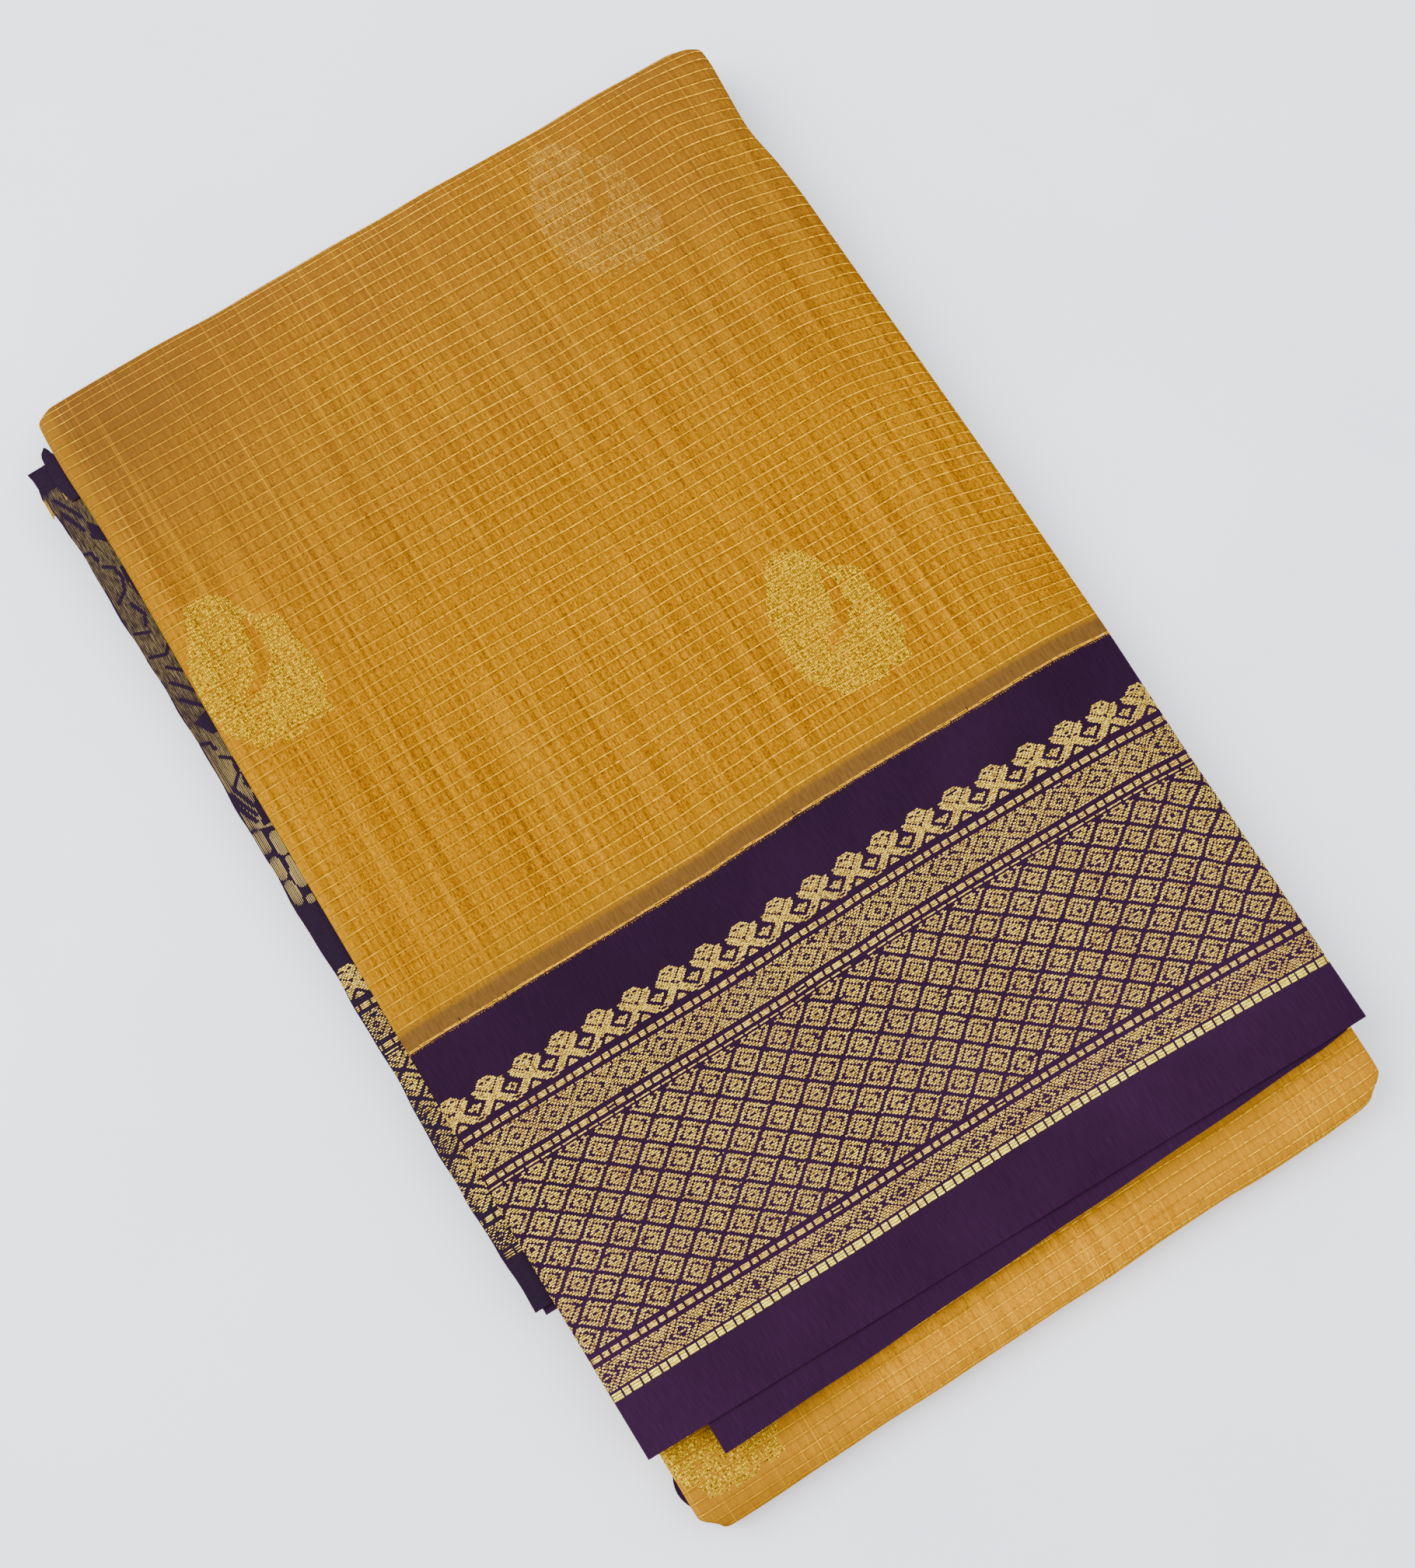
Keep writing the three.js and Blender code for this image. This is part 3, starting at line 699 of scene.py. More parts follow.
rng = np.random.default_rng(11)
LAST_FLAP_LINE = FAR_FOLD_W[1] - 2
flap_line_rows = line_rows(FIRST_LINE_W, LAST_FLAP_LINE, rng)
flap_lines = lay_threads("flap_zari_lines", flap_line_rows, body_at, LINE_WIDE, LINE_HIGH, zari_line,
                         turn_aware)
first_base_line = FIRST_LINE_W + LINE_PITCH * math.ceil((BASE_FROM_W + 2 - FIRST_LINE_W) / LINE_PITCH)
base_line_rows = line_rows(first_base_line, NEAR_FOLD_W[1] + 70, rng)
base_lines = lay_threads("base_zari_lines", base_line_rows, body_at, LINE_WIDE, LINE_HIGH, zari_line,
                         turn_aware)


# Butas: mango-shaped motifs scattered over the body, each one brocaded by hand with a bright
# extra yarn that runs the other way from the zari lines and goes under each of them.
MANGO = [
    (46, 12.5), (51, 13.6), (56, 12.4), (60, 9), (62.5, 4), (64.5, 0), (67, -1), (70.5, -2.5), (72.5, -6),
    (72, -12), (73.8, -19), (74.2, -27), (73.2, -32), (70.5, -35), (71.5, -39.5), (66, -40.5), (63, -38),
    (61, -41), (54, -41.5), (52.5, -39), (51, -40.5), (45, -39.5), (43.5, -35), (40, -32.5), (37.2, -28),
    (36.4, -20), (37.2, -8), (40, 0), (43.6, 5.5),
]
CRESCENT = [
    (60.8, 3), (63.2, -6), (62.5, -14), (58.5, -20), (52.5, -23), (49, -25), (51, -21), (55.5, -17),
    (58.5, -11), (59.5, -4),
]
BUTA_CENTRE = (55.0, -14.0)
BUTA_PITCH = 0.67
BUTA_TIE = LINE_PITCH / 3
BUTA_STEP = 1.3
BUTA_WIDE, BUTA_HIGH = 0.42, 0.17


def inside(outline, x, y):
    """Whether points are inside a closed outline."""
    hit = np.zeros(np.broadcast(x, y).shape, bool)
    for (xa, ya), (xb, yb) in zip(outline, outline[1:] + outline[:1]):
        if ya == yb:
            continue
        crosses = ((ya > y) != (yb > y)) & (x < xa + (y - ya) * (xb - xa) / (yb - ya))
        hit ^= crosses
    return hit


def runs_of(mask, marks, shortest):
    """Start and end of each stretch of a line where the mask is on."""
    edge = np.diff(np.concatenate([[0], mask.astype(int), [0]]))
    starts, ends = np.where(edge == 1)[0], np.where(edge == -1)[0]
    step = marks[1] - marks[0]
    return [(marks[a], marks[b - 1] + step) for a, b in zip(starts, ends) if (b - a) * step >= shortest]


def buta_rows(centre_x, centre_w, height, rng, broken=0.05):
    """Stitches of one buta, column by column, with a gap at every zari line and tie."""
    rows = []
    scale = height / 55.0
    for x in np.arange(-19.5, 20, BUTA_PITCH):
        marks = np.arange(-30, 30, 0.1)
        px, py = x + BUTA_CENTRE[0], marks / scale + BUTA_CENTRE[1]
        mask = inside(MANGO, px, py) & ~inside(CRESCENT, px, py)
        w = centre_w + marks
        from_line = np.abs((w - FIRST_LINE_W + LINE_PITCH / 2) % LINE_PITCH - LINE_PITCH / 2)
        from_tie = np.abs((w - FIRST_LINE_W + BUTA_TIE / 2) % BUTA_TIE - BUTA_TIE / 2)
        gap = (from_line < rng.uniform(0.22, 0.4)) | (from_tie < rng.uniform(0.05, 0.22))
        for start, end in runs_of(mask & ~gap, w, 0.4):
            if rng.uniform() > broken:
                rows.append((centre_x + x + rng.normal(0, 0.04), start + rng.uniform(0, 0.1), end))
    return rows


def buta_at(along, line, lift):
    """Where a yarn that runs along the cloth lies."""
    return wrapped(line, along, lift)


# Bright yellow zari for the butas, a softer yarn than the border's, with light and dark strokes
# of 0.7 mm by 1.1 mm, the brightest of them painted glints. It is a greener yellow than the cloth,
# so the motif stands out.
buta_yarn, tree = new_material("buta_zari_bright_yellow")
thread_uv = weave_place(tree)
strokes = noise(tree, thread_uv, (1500, 900), 2.0)
# The brightest stop paints glints.
buta_tone_and_glints = toned(tree, strokes, [(0.4, "4e3a00"), (0.5, "b09600"), (0.6, "f0d200")])
finish_material(tree, buta_tone_and_glints, 0.34, 0.03, metallic=0.15)

# A worn buta whose yarn has faded to the colour of dry straw.
faded_yarn, tree = new_material("buta_zari_faded")
thread_uv = weave_place(tree)
worn = noise(tree, thread_uv, (200, 900), 2.0)
worn_tone = toned(tree, worn, [(0.38, "80591a"), (0.62, "ac8a38")])
finish_material(tree, worn_tone, 0.5, 0.05, metallic=0.2)

BUTAS = [
    {"name": "buta_right", "x": 55.5, "w": 49.9, "tall": 55.0, "yarn": buta_yarn, "broken": 0.04},
    {"name": "buta_left", "x": -111.0, "w": 132.9, "tall": 57.0, "yarn": buta_yarn, "broken": 0.05},
    {"name": "buta_far", "x": 63.5, "w": 214.4, "tall": 55.0, "yarn": faded_yarn, "broken": 0.22},
    {
        "name": "buta_near_fold", "x": -108.0, "w": NEAR_FOLD_W[1] + 22, "tall": 55.0,
        "yarn": buta_yarn, "broken": 0.1,
    },
    {
        "name": "buta_under_left", "x": -60.0, "w": FAR_FOLD_W[1] + 90, "tall": 55.0,
        "yarn": buta_yarn, "broken": 0.05,
    },
    {
        "name": "buta_under_right", "x": 58.0, "w": FAR_FOLD_W[1] + 190, "tall": 55.0,
        "yarn": buta_yarn, "broken": 0.05,
    },
    {
        "name": "buta_under_near", "x": -60.0, "w": FAR_FOLD_W[1] + 290, "tall": 55.0,
        "yarn": buta_yarn, "broken": 0.05,
    },
]
flap_butas, base_butas = [], []
for row in BUTAS:
    yarn_rows = buta_rows(row["x"], row["w"], row["tall"], rng, row["broken"])
    buta = lay_threads(row["name"], yarn_rows, buta_at, BUTA_WIDE, BUTA_HIGH, row["yarn"],
                       BUTA_STEP)
    (flap_butas if row["w"] < FAR_FOLD_W[1] else base_butas).append(buta)


# The border of the flap: a band of deep purple cotton 142 mm wide, woven in one with the body,
# that ends in a plain selvedge. It is the ground that the zari patterns float on.

# Mercerised cotton is dense and smooth: nearly flat in colour, with very fine lines of thread and
# a satin light that turns it a little redder. The lines are 0.4 mm apart and 6 mm long.
purple_cotton, tree = new_material("mercerised_purple_cotton")
weave_uv = weave_place(tree)
fine_noise = noise(tree, weave_uv, (2600, 160), 2.0)
slow_noise = noise(tree, weave_uv, 22.0, 2.0)
tone_sum = worked_out(tree, "ADD", fine_noise, slow_noise)
tone_half = worked_out(tree, "MULTIPLY", tone_sum, 0.5)
purple_tone = toned(tree, tone_half, [(0.35, "200a21"), (0.68, "2a122c")])
purple_parts = add_node(tree, "ShaderNodeSeparateXYZ", {"Vector": weave_uv}).outputs
by_the_join = ranged(tree, purple_parts["Y"], (-0.02, -0.115), (0.76, 1.06))
purple = scaled(tree, purple_tone, by_the_join)
purple_bump = bumped(tree, fine_noise, 0.2, 0.00015)
finish_material(tree, purple, 0.65, 0.03, normal=purple_bump)

border_cloth = wrapped_cloth("border_cloth", along_steps(-BORDER_WIDE, -0.0, 2.4), purple_cotton,
                             flat_step=2.6)
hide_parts("flap_border")


# The zari of the border: rows of gold thread floating along it, one over the next, in bands of
# buds, dashes, ringed diamonds and a wide diamond lattice, all on one repeat of 13.1 mm.
REPEAT = 13.1
CELL = REPEAT / 20

# Half of one bud, from its middle outwards, row by row from the top, with the small diamond and
# the scallop that lie between two buds at the far end of each row.
BUD_CHART = [
    "####.......",
    "#####......",
    "##.###.....",
    ".#####.....",
    "#####.###..",
    "####.####..",
    "###.#####..",
    "##.######..",
    ".#######...",
    ".######...#",
    "######...##",
    "#####..###.",
    "#####..####",
    "######...##",
    ".######...#",
    "#.#######..",
    "##.#######.",
    "###.####.##",
    "###..####..",
    "........###",
]


def from_chart(chart):
    """A band's pattern from a chart of half a repeat."""
    def pattern(p, row, rows):
        cells = np.minimum(np.round(np.abs(p) / CELL).astype(int), 10)
        return np.array([letter == "#" for letter in chart[row]])[cells]
    return pattern


def dashes(long, short, gap):
    """Blocks of floats, a long one on each bud's line and half way between, short ones in turn."""
    period = long + short + 2 * gap

    def pattern(p, row, rows):
        q = np.abs((p + period / 2) % period - period / 2)
        return (q < long / 2) | (q > long / 2 + gap)
    return pattern


def single_line(p, row, rows):
    """One thread in pieces of 4.8, 3.0 and 3.2 mm."""
    return (np.abs(p) < 2.4) | ((np.abs(p) > 3.1) & (np.abs(p) < 6.2))


def ringed(rings, half_wide, half_tall):
    """A full band of floats with dotted dark diamonds round each bud's line, one in the next."""
    def pattern(p, row, rows):
        middle = (rows - 1) / 2
        if row == 0:
            return np.abs(p / CELL % 5) > 0.9
        size = np.abs(p) / CELL / half_wide + abs(row - middle) / half_tall
        dark = np.zeros(p.shape, bool)
        for ring in rings:
            dark |= np.abs(size - ring) < 0.45 / half_tall
        return ~dark
    return pattern


LATTICE = {"half_wide": REPEAT / 2, "half_rows": 8, "first_row": -1}


def lattice(p, row, rows):
    """Diamonds in staggered rows, with a dotted ring inside each and dark lines between them."""
    best = np.full(p.shape, 9.0)
    step = (row + LATTICE["first_row"]) / LATTICE["half_rows"]
    for n in (math.floor(step), math.floor(step) + 1):
        shift = 0 if n % 2 == 0 else LATTICE["half_wide"]
        q = np.abs((p + shift + REPEAT / 2) % REPEAT - REPEAT / 2)
        best = np.minimum(best, q / LATTICE["half_wide"] + abs(step - n))
    return (best < 0.865) & (np.abs(best - 0.5) > 0.062) & (best > 0.11)


BORDER_BANDS = [
    {"from": 18.4, "to": 29.8, "rows": 20, "tie": 0.05, "pattern": from_chart(BUD_CHART)},
    {"from": 31.35, "to": 33.2, "rows": 3, "tie": 0, "pattern": dashes(3.05, 2.1, 0.7)},
    {"from": 34.4, "to": 44.2, "rows": 15, "tie": 0.09, "pattern": ringed((0.2, 1.0, 1.85), 7, 5)},
    {"from": 45.6, "to": 47.4, "rows": 3, "tie": 0, "pattern": dashes(3.05, 2.1, 0.7)},
    {"from": 48.5, "to": 49.1, "rows": 1, "tie": 0, "pattern": single_line},
    {"from": 49.6, "to": 106.45, "rows": 88, "tie": 0.05, "pattern": lattice},
    {"from": 107.95, "to": 109.65, "rows": 3, "tie": 0, "pattern": dashes(2.95, 2.0, 0.8)},
    {"from": 110.9, "to": 119.2, "rows": 13, "tie": 0.09, "pattern": ringed((0.5, 1.2, 2.0), 5, 4)},
]
BOLD_ROWS = [{"from": 119.9, "to": 122.4, "rows": 3, "tie": 0, "pattern": dashes(3.2, 2.1, 0.62)}]

# Where each bud stands across the flap: the handloomed repeat opens out to the right and closes
# up again where the cloth turns down.
BUD_NUMBER = [-11, -10, -9, -3, -2, -1, 0, 1, 2, 3, 4, 5, 6, 7, 8, 9, 10]
BUD_ACROSS = [
    -139.5, -126.3, -113.2, -35.2, -22.3, -8.9, 4.6, 17.7, 30.6, 43.8, 57.5, 71.3, 85.2, 99.3, 112.9,
    124.9, 137.0,
]


def flap_border_at(along, line, lift):
    """Where a float of the flap's border lies, with its repeat opened out or closed up."""
    across = np.interp(along / REPEAT, BUD_NUMBER, BUD_ACROSS)
    return wrapped(across, -line, lift)


# Each float is tied down by a dark warp thread every 1.3 mm, a half step over from row to row.
TIE_PITCH = REPEAT / 10


def band_rows(bands, start, end, rng, skip=0.012):
    """Runs of float for each thread row of a list of bands, between two places along the border."""
    rows = []
    marks = np.arange(start, end, 0.08)
    p = (marks + REPEAT / 2) % REPEAT - REPEAT / 2
    for band in bands:
        pitch = (band["to"] - band["from"]) / band["rows"]
        for row in range(band["rows"]):
            v = band["from"] + (row + 0.5) * pitch
            tie = np.abs((marks / TIE_PITCH + 0.5 * (row % 2)) % 1 - 0.5) < band["tie"]
            mask = band["pattern"](p, row, band["rows"]) & ~tie
            for a, b in runs_of(mask, marks, 0.35):
                if rng.uniform() > skip:
                    line = v + rng.normal(0, 0.02)
                    rows.append((line, a + rng.uniform(0, 0.08), b - rng.uniform(0, 0.08)))
    return rows


def border_steps(runs):
    """Longest step along each float: short where the cloth turns down."""
    return np.where((runs[:, 1] < -127) | (runs[:, 2] > 112), 1.3, 5.5)


# Border zari: pale antique gold in close rows, uneven every millimetre along each thread, with
# painted glints on its brightest flecks and painted shade on its darkest. The metal picks up the
# white room and goes a slow, patchy brown where it is worn.
border_zari, tree = new_material("zari_antique_gold")
thread_uv = weave_place(tree)
float_noise = noise(tree, thread_uv, (900, 1600), 3.0, roughness=0.6)
# The brightest stop paints glints, the darkest paints shade.
zari_tone_and_glints = toned(tree, float_noise, [(0.39, "664808"), (0.5, "deb434"), (0.6, "ffe452")])
slow_gold = noise(tree, thread_uv, 48.0, 2.0)
brown_part = ranged(tree, slow_gold, (0.42, 0.66), (0.0, 0.28))
zari_colour = mixed(tree, brown_part, zari_tone_and_glints, linear("a8742e"))
winding_noise = noise(tree, thread_uv, (2600, 600), 1.0, turn=0.5)
winding_bump = bumped(tree, winding_noise, 0.4, 0.0001)
finish_material(tree, zari_colour, 0.32, 0.1, metallic=0.2, normal=winding_bump)

# The bold row by the selvedge is a thicker, newer-looking yellow gold, with painted glints on its
# brightest flecks.
bold_zari, tree = new_material("zari_bright_gold")
thread_uv = weave_place(tree)
bold_noise = noise(tree, thread_uv, (700, 1200), 2.0)
# The brightest stop paints glints.
bold_tone_and_glints = toned(tree, bold_noise, [(0.35, "c09c14"), (0.62, "fff04a")])
finish_material(tree, bold_tone_and_glints, 0.36, 0.1, metallic=0.3)

rng = np.random.default_rng(23)
ZARI_WIDE, ZARI_HIGH = 0.5, 0.15
BOLD_WIDE, BOLD_HIGH = 0.74, 0.22
ZARI_ENDS = (-134.5, 133.5)
ZARI_PIECES = [
    ("border_zari_buds", BORDER_BANDS[:5]), ("border_zari_lattice", BORDER_BANDS[5:6]),
    ("border_zari_lower", BORDER_BANDS[6:]),
]
for piece_name, bands in ZARI_PIECES:
    lay_threads(piece_name, band_rows(bands, *ZARI_ENDS, rng), flap_border_at, ZARI_WIDE,
                                  ZARI_HIGH, border_zari, border_steps)
bold_rows = band_rows(BOLD_ROWS, *ZARI_ENDS, rng, 0)
bold_row = lay_threads("border_bold_dashes", bold_rows, flap_border_at, BOLD_WIDE, BOLD_HIGH, bold_zari,
                       border_steps)


# The join of border and body: a thick yellow cotton yarn where the two wefts are locked together,
# and the cut ends of that yarn, which stand out over the purple as a short fringe.
# It is soft spun cotton: matt yellow, lighter on the fibres that stand up.
join_yarn, tree = new_material("join_yarn_yellow_cotton")
yarn_place = add_node(tree, "ShaderNodeTexCoord")
yarn_noise = noise(tree, yarn_place.outputs["Object"], 1400.0, 2.0)
join_tone = toned(tree, yarn_noise, [(0.35, "a87400"), (0.65, "f0b200")])
finish_material(tree, join_tone, 0.75, 0.05)


def join_rows(rng):
    """Two lines of short stitches of the yellow yarn along the join."""
    rows = []
    for line in (-0.28, 0.12):
        mark = -131.0
        while mark < 133:
            stop = mark + rng.uniform(1.2, 5.5)
            rows.append((line + rng.normal(0, 0.07), mark, stop))
            mark = stop + rng.uniform(0.0, 0.35)
    return rows


def join_at(along, line, lift):
    """Where the yarn of the join lies."""
    return wrapped(along, -line, lift)


join_line = lay_threads("join_yarn", join_rows(rng), join_at, 0.36, 0.2, join_yarn, 1.6)

# A few dark threads of the border's warp were pulled up over the gold when the join was woven.
TICKS = [
    (-110.2, -1.0, 1.5), (-94.0, -1.2, 1.1), (-47.5, -0.8, 0.7), (11.8, -1.1, 1.7), (12.5, -1.3, 0.6),
    (76.8, -1.0, 1.4), (108.4, -0.9, 0.6),
]
join_ticks = lay_threads("join_dark_threads", TICKS, buta_at, 0.32, 0.32, purple_cotton,
                         BUTA_STEP)

# Fringe: a point every so often along the join carries one short fibre, turned and sized at random.
FRINGE_FIBRES = 460
fringe_across = np.linspace(-129, 131, 521)
fringe_line = wrapped(fringe_across, np.full(521, -0.55), np.full(521, 0.05))
fringe_curve = bpy.data.meshes.new("join_fringe")
fringe_curve.from_pydata(fringe_line.tolist(), [(i, i + 1) for i in range(520)], [])
fringe = bpy.data.objects.new("join_fringe", fringe_curve)
bpy.context.scene.collection.objects.link(fringe)

fringe_tree = bpy.data.node_groups.new("fringe_of_cut_yarn", "GeometryNodeTree")
fringe_tree.interface.new_socket("Geometry", in_out="INPUT", socket_type="NodeSocketGeometry")
FRINGE_INPUTS = [
    ("Fibres", "NodeSocketInt", 330), ("Fibre length", "NodeSocketFloat", 0.6 * MM),
    ("Fibre radius", "NodeSocketFloat", 0.035 * MM), ("Seed", "NodeSocketInt", 5),
]
for input_name, kind, value in FRINGE_INPUTS:
    fringe_tree.interface.new_socket(input_name, in_out="INPUT", socket_type=kind).default_value = value
fringe_tree.interface.new_socket("Geometry", in_out="OUTPUT", socket_type="NodeSocketGeometry")
given = add_node(fringe_tree, "NodeGroupInput").outputs
to_curve = add_node(fringe_tree, "GeometryNodeMeshToCurve", {"Mesh": given["Geometry"]})
spaced = add_node(fringe_tree, "GeometryNodeResampleCurve", {
    "Curve": to_curve.outputs["Curve"], "Count": given["Fibres"],
})
to_points = add_node(
    fringe_tree, "GeometryNodeCurveToPoints", {"Curve": spaced.outputs["Curve"]}, mode="EVALUATED",
)
tip = add_node(fringe_tree, "ShaderNodeCombineXYZ", {"Y": 0.0, "X": given["Fibre length"], "Z": 0.0002})
bend = add_node(fringe_tree, "ShaderNodeCombineXYZ", {"X": 0.0006, "Y": 0.00012, "Z": 0.0004})
fibre = add_node(fringe_tree, "GeometryNodeCurveQuadraticBezier", {
    "Resolution": 4, "Middle": bend.outputs["Vector"], "End": tip.outputs["Vector"],
})
fibre.inputs["Start"].default_value = (0, 0, 0)
round_section = add_node(fringe_tree, "GeometryNodeCurvePrimitiveCircle", {
    "Resolution": 4, "Radius": given["Fibre radius"],
})
fibre_mesh = add_node(fringe_tree, "GeometryNodeCurveToMesh", {
    "Curve": fibre.outputs["Curve"], "Profile Curve": round_section.outputs["Curve"], "Fill Caps": True,
})
turn = add_node(fringe_tree, "FunctionNodeRandomValue", {
    "Min": (-0.1, -0.15, -2.35), "Max": (0.3, 0.15, -0.8), "Seed": given["Seed"],
}, data_type="FLOAT_VECTOR")
size = add_node(fringe_tree, "FunctionNodeRandomValue", {
    2: 0.35, 3: 1.25, "Seed": given["Seed"],
}, data_type="FLOAT")
fibres = add_node(fringe_tree, "GeometryNodeInstanceOnPoints", {
    "Points": to_points.outputs["Points"], "Instance": fibre_mesh.outputs["Mesh"],
    "Rotation": turn.outputs["Value"], "Scale": size.outputs[1],
})
real_fibres = add_node(fringe_tree, "GeometryNodeRealizeInstances", {
    "Geometry": fibres.outputs["Instances"],
})
painted = add_node(fringe_tree, "GeometryNodeSetMaterial", {
    "Geometry": real_fibres.outputs["Geometry"], "Material": join_yarn,
})
add_node(fringe_tree, "NodeGroupOutput", {"Geometry": painted.outputs["Geometry"]})

grown = fringe.modifiers.new("fringe", "NODES")
grown.node_group = fringe_tree
for item in fringe_tree.interface.items_tree:
    if item.in_out == "INPUT" and item.name == "Fibres":
        grown[item.identifier] = FRINGE_FIBRES
seen = fringe.evaluated_get(bpy.context.evaluated_depsgraph_get())
fringe_mesh = bpy.data.meshes.new_from_object(seen)
fringe.modifiers.remove(grown)
fringe.data = fringe_mesh
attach(fringe, "root")


# The next border in the stack, whose selvedge stands out below the flap's at the left, and the
# cut-even selvedges of the other layers, one thin purple edge over the other.
def strip_cloth(name, xs, front_y, back_y, top_z, thick, material):
    """A flat thin layer: its front edge, back edge and height are given for each x."""
    shares = np.linspace(0, 1, 6)
    x = np.repeat(xs[None, :], 6, 0)
    y = front_y[None, :] + (back_y - front_y[None, :]) * shares[:, None] ** 1.4
    z = top_z[None, :] - 0.25 * (1 - smooth(shares[:, None] / 0.3))
    outer, inner = swollen(x, z), swollen(x, z - thick)

    def stand(height):
        toward = (height - z) / (EYE[2] - z)
        px, py = x + (EYE[0] - x) * toward, y + (EYE[1] - y) * toward
        return np.stack([(px + SHIFT[0]) * MM, (py + SHIFT[1]) * MM, height * MM], -1)
    uvs = np.stack([x * MM, y * MM], -1)
    return closed_cloth(name, stand(outer), stand(inner), uvs, material)


xs = np.linspace(-107.5, 121.5, 90)
second_edge = np.interp(
    xs, [-107.5, -60, 0, 60, 111, 121.5], [-216.2, -215.2, -213.4, -211.6, -209.8, -208.6],
)
second_border = strip_cloth("second_border_cloth", xs, second_edge + 0.12 * np.sin(xs / 7), -150.0,
                            np.full(90, HEIGHT - 1.5), 0.55, purple_cotton)
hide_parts("second_border")

SET_BACK = [0.4, 1.6, 0.2, 1.1, 2.3, 0.7, 1.8, 0.5, 2.6, 1.2, 0.3, 1.9, 1.0]
FIRST_LAYER, LAYER_PITCH = 2.35, 0.5
for number, set_back in enumerate(SET_BACK):
    top = HEIGHT - FIRST_LAYER - number * LAYER_PITCH
    layer_xs = np.linspace(
        -123.5 + 0.7 * math.sin(number * 2.1), 121.8 + 0.8 * math.sin(number * 1.3), 60,
    )
    across_share = (layer_xs + HALF_WIDTH) / (2 * HALF_WIDTH)
    edge_y = FLAP_EDGE_Y[0] + 1.2 + (FLAP_EDGE_Y[1] - FLAP_EDGE_Y[0]) * across_share + set_back
    edge_y += 0.5 * np.sin(layer_xs / 31 + number * 1.9) + 0.2 * np.sin(layer_xs / 11 + number)
    height = np.full(60, top) + 0.08 * np.sin(layer_xs / 17 + number * 2.3)
    layer = strip_cloth(
        f"selvedge_{number + 1:02d}", layer_xs, edge_y, -172.0, height, 0.3, purple_cotton,
    )


# The hidden layers: two dozen thicknesses of cloth in each panel. Their folds show down both
# sides as thin rounded noses, purple along the borders and gold along the body.
def swept(name, rings, uvs, material):
    """A closed bar from rings of points, with both ends capped."""
    stations, around = rings.shape[:2]
    number = np.arange(stations * around).reshape(stations, around)
    nxt = np.roll(number, -1, 1)
    faces = np.stack([number[:-1], nxt[:-1], nxt[1:], number[1:]], -1).reshape(-1, 4)
    faces = [tuple(f) for f in faces] + [tuple(number[0, ::-1]), tuple(number[-1])]
    return mesh_object(name, rings.reshape(-1, 3), faces, uvs.reshape(-1, 2), material)


def fold_bar(name, side, w_values, top, bottom, edge_back, inner_back, material, seed):
    """One folded edge of the hidden cloth along the side of the band."""
    rng = np.random.default_rng(seed)
    w = np.asarray(w_values, float)
    wave_sizes = ((0.35, 46), (0.25, 19), (0.16, 8.3))
    waves = sum(a * np.sin(w / length + rng.uniform(0, 6.28)) for a, length in wave_sizes)
    left, right = edges_at(w)
    edge = left if side < 0 else right
    half = (bottom - top) / 2
    angles = np.linspace(0, math.pi, 6)
    nose = [edge_back + half * 1.2 * (1 - math.sin(a)) for a in angles]
    back = [inner_back, inner_back * 0.5] + nose + [inner_back * 0.5, inner_back]
    depths = [top, top] + [top + half * (1 - math.cos(a)) for a in angles] + [bottom, bottom]
    back, depths = np.array(back), np.array(depths)
    moves = np.where(back < inner_back * 0.45, 1.0, 0.0)
    x = edge[:, None] - side * (back[None, :] + moves[None, :] * waves[:, None])
    rings = place(x, w[:, None], depths[None, :] + 0.06 * np.sin(w / 13 + seed)[:, None])
    uvs = np.stack([x * MM, np.repeat(w[:, None], len(back), 1) * MM], -1)
    if side > 0:
        rings, uvs = rings[:, ::-1], uvs[:, ::-1]
    return swept(name, rings, uvs, material)


core_w = along_steps(-BORDER_WIDE + 9, LAST_W - 3, 14.0)
left, right = edges_at(core_w)
core_x = np.linspace(0, 1, 40)[None, :] * ((right - 8) - (left + 15))[:, None] + (left + 15)[:, None]
core_uv = np.stack([core_x * MM, np.repeat(core_w[:, None], 40, 1) * MM], -1)
core_top = place(core_x, core_w[:, None], 1.3)
core_bottom = place(core_x, core_w[:, None], STACK - 0.1)
hidden_core = closed_cloth("hidden_layers_core", core_top, core_bottom,
                           core_uv, gold_cotton)
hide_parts("hidden_layers")

FOLD_NOSES = {
    -1: {"first": 4.5, "count": 6, "back": [1.6, 2.5, 1.1, 2.2, 1.4, 2.9]},
    1: {"first": 5.5, "count": 4, "back": [3.0, 1.8, 2.7, 1.5]},
}
border_w = np.linspace(-BORDER_WIDE + 3.5, -0.2, 30)
body_w = along_steps(0.2, LAST_W - 3, 12.0)
open_w = along_steps(FAR_FOLD_W[0] + 12, LAST_W - 3, 12.0)
for side, label in ((-1, "left"), (1, "right")):
    row = FOLD_NOSES[side]
    pitch = (STACK - row["first"]) / row["count"]
    for number in range(row["count"]):
        top = row["first"] + number * pitch
        bottom = top + pitch * 0.94
        back = row["back"][number]
        inner = 16.0 if side < 0 else 10.0
        below_pallu = side < 0 and number < 4
        if not below_pallu:
            fold_bar(f"border_fold_{label}_{number + 1}", side, border_w, top, bottom, back, inner,
                     purple_cotton, 40 + number)
        fold_bar(f"body_fold_{label}_{number + 1}", side, open_w if below_pallu else body_w, top, bottom,
                 back, inner, gold_cotton, 60 + number + 20 * side)


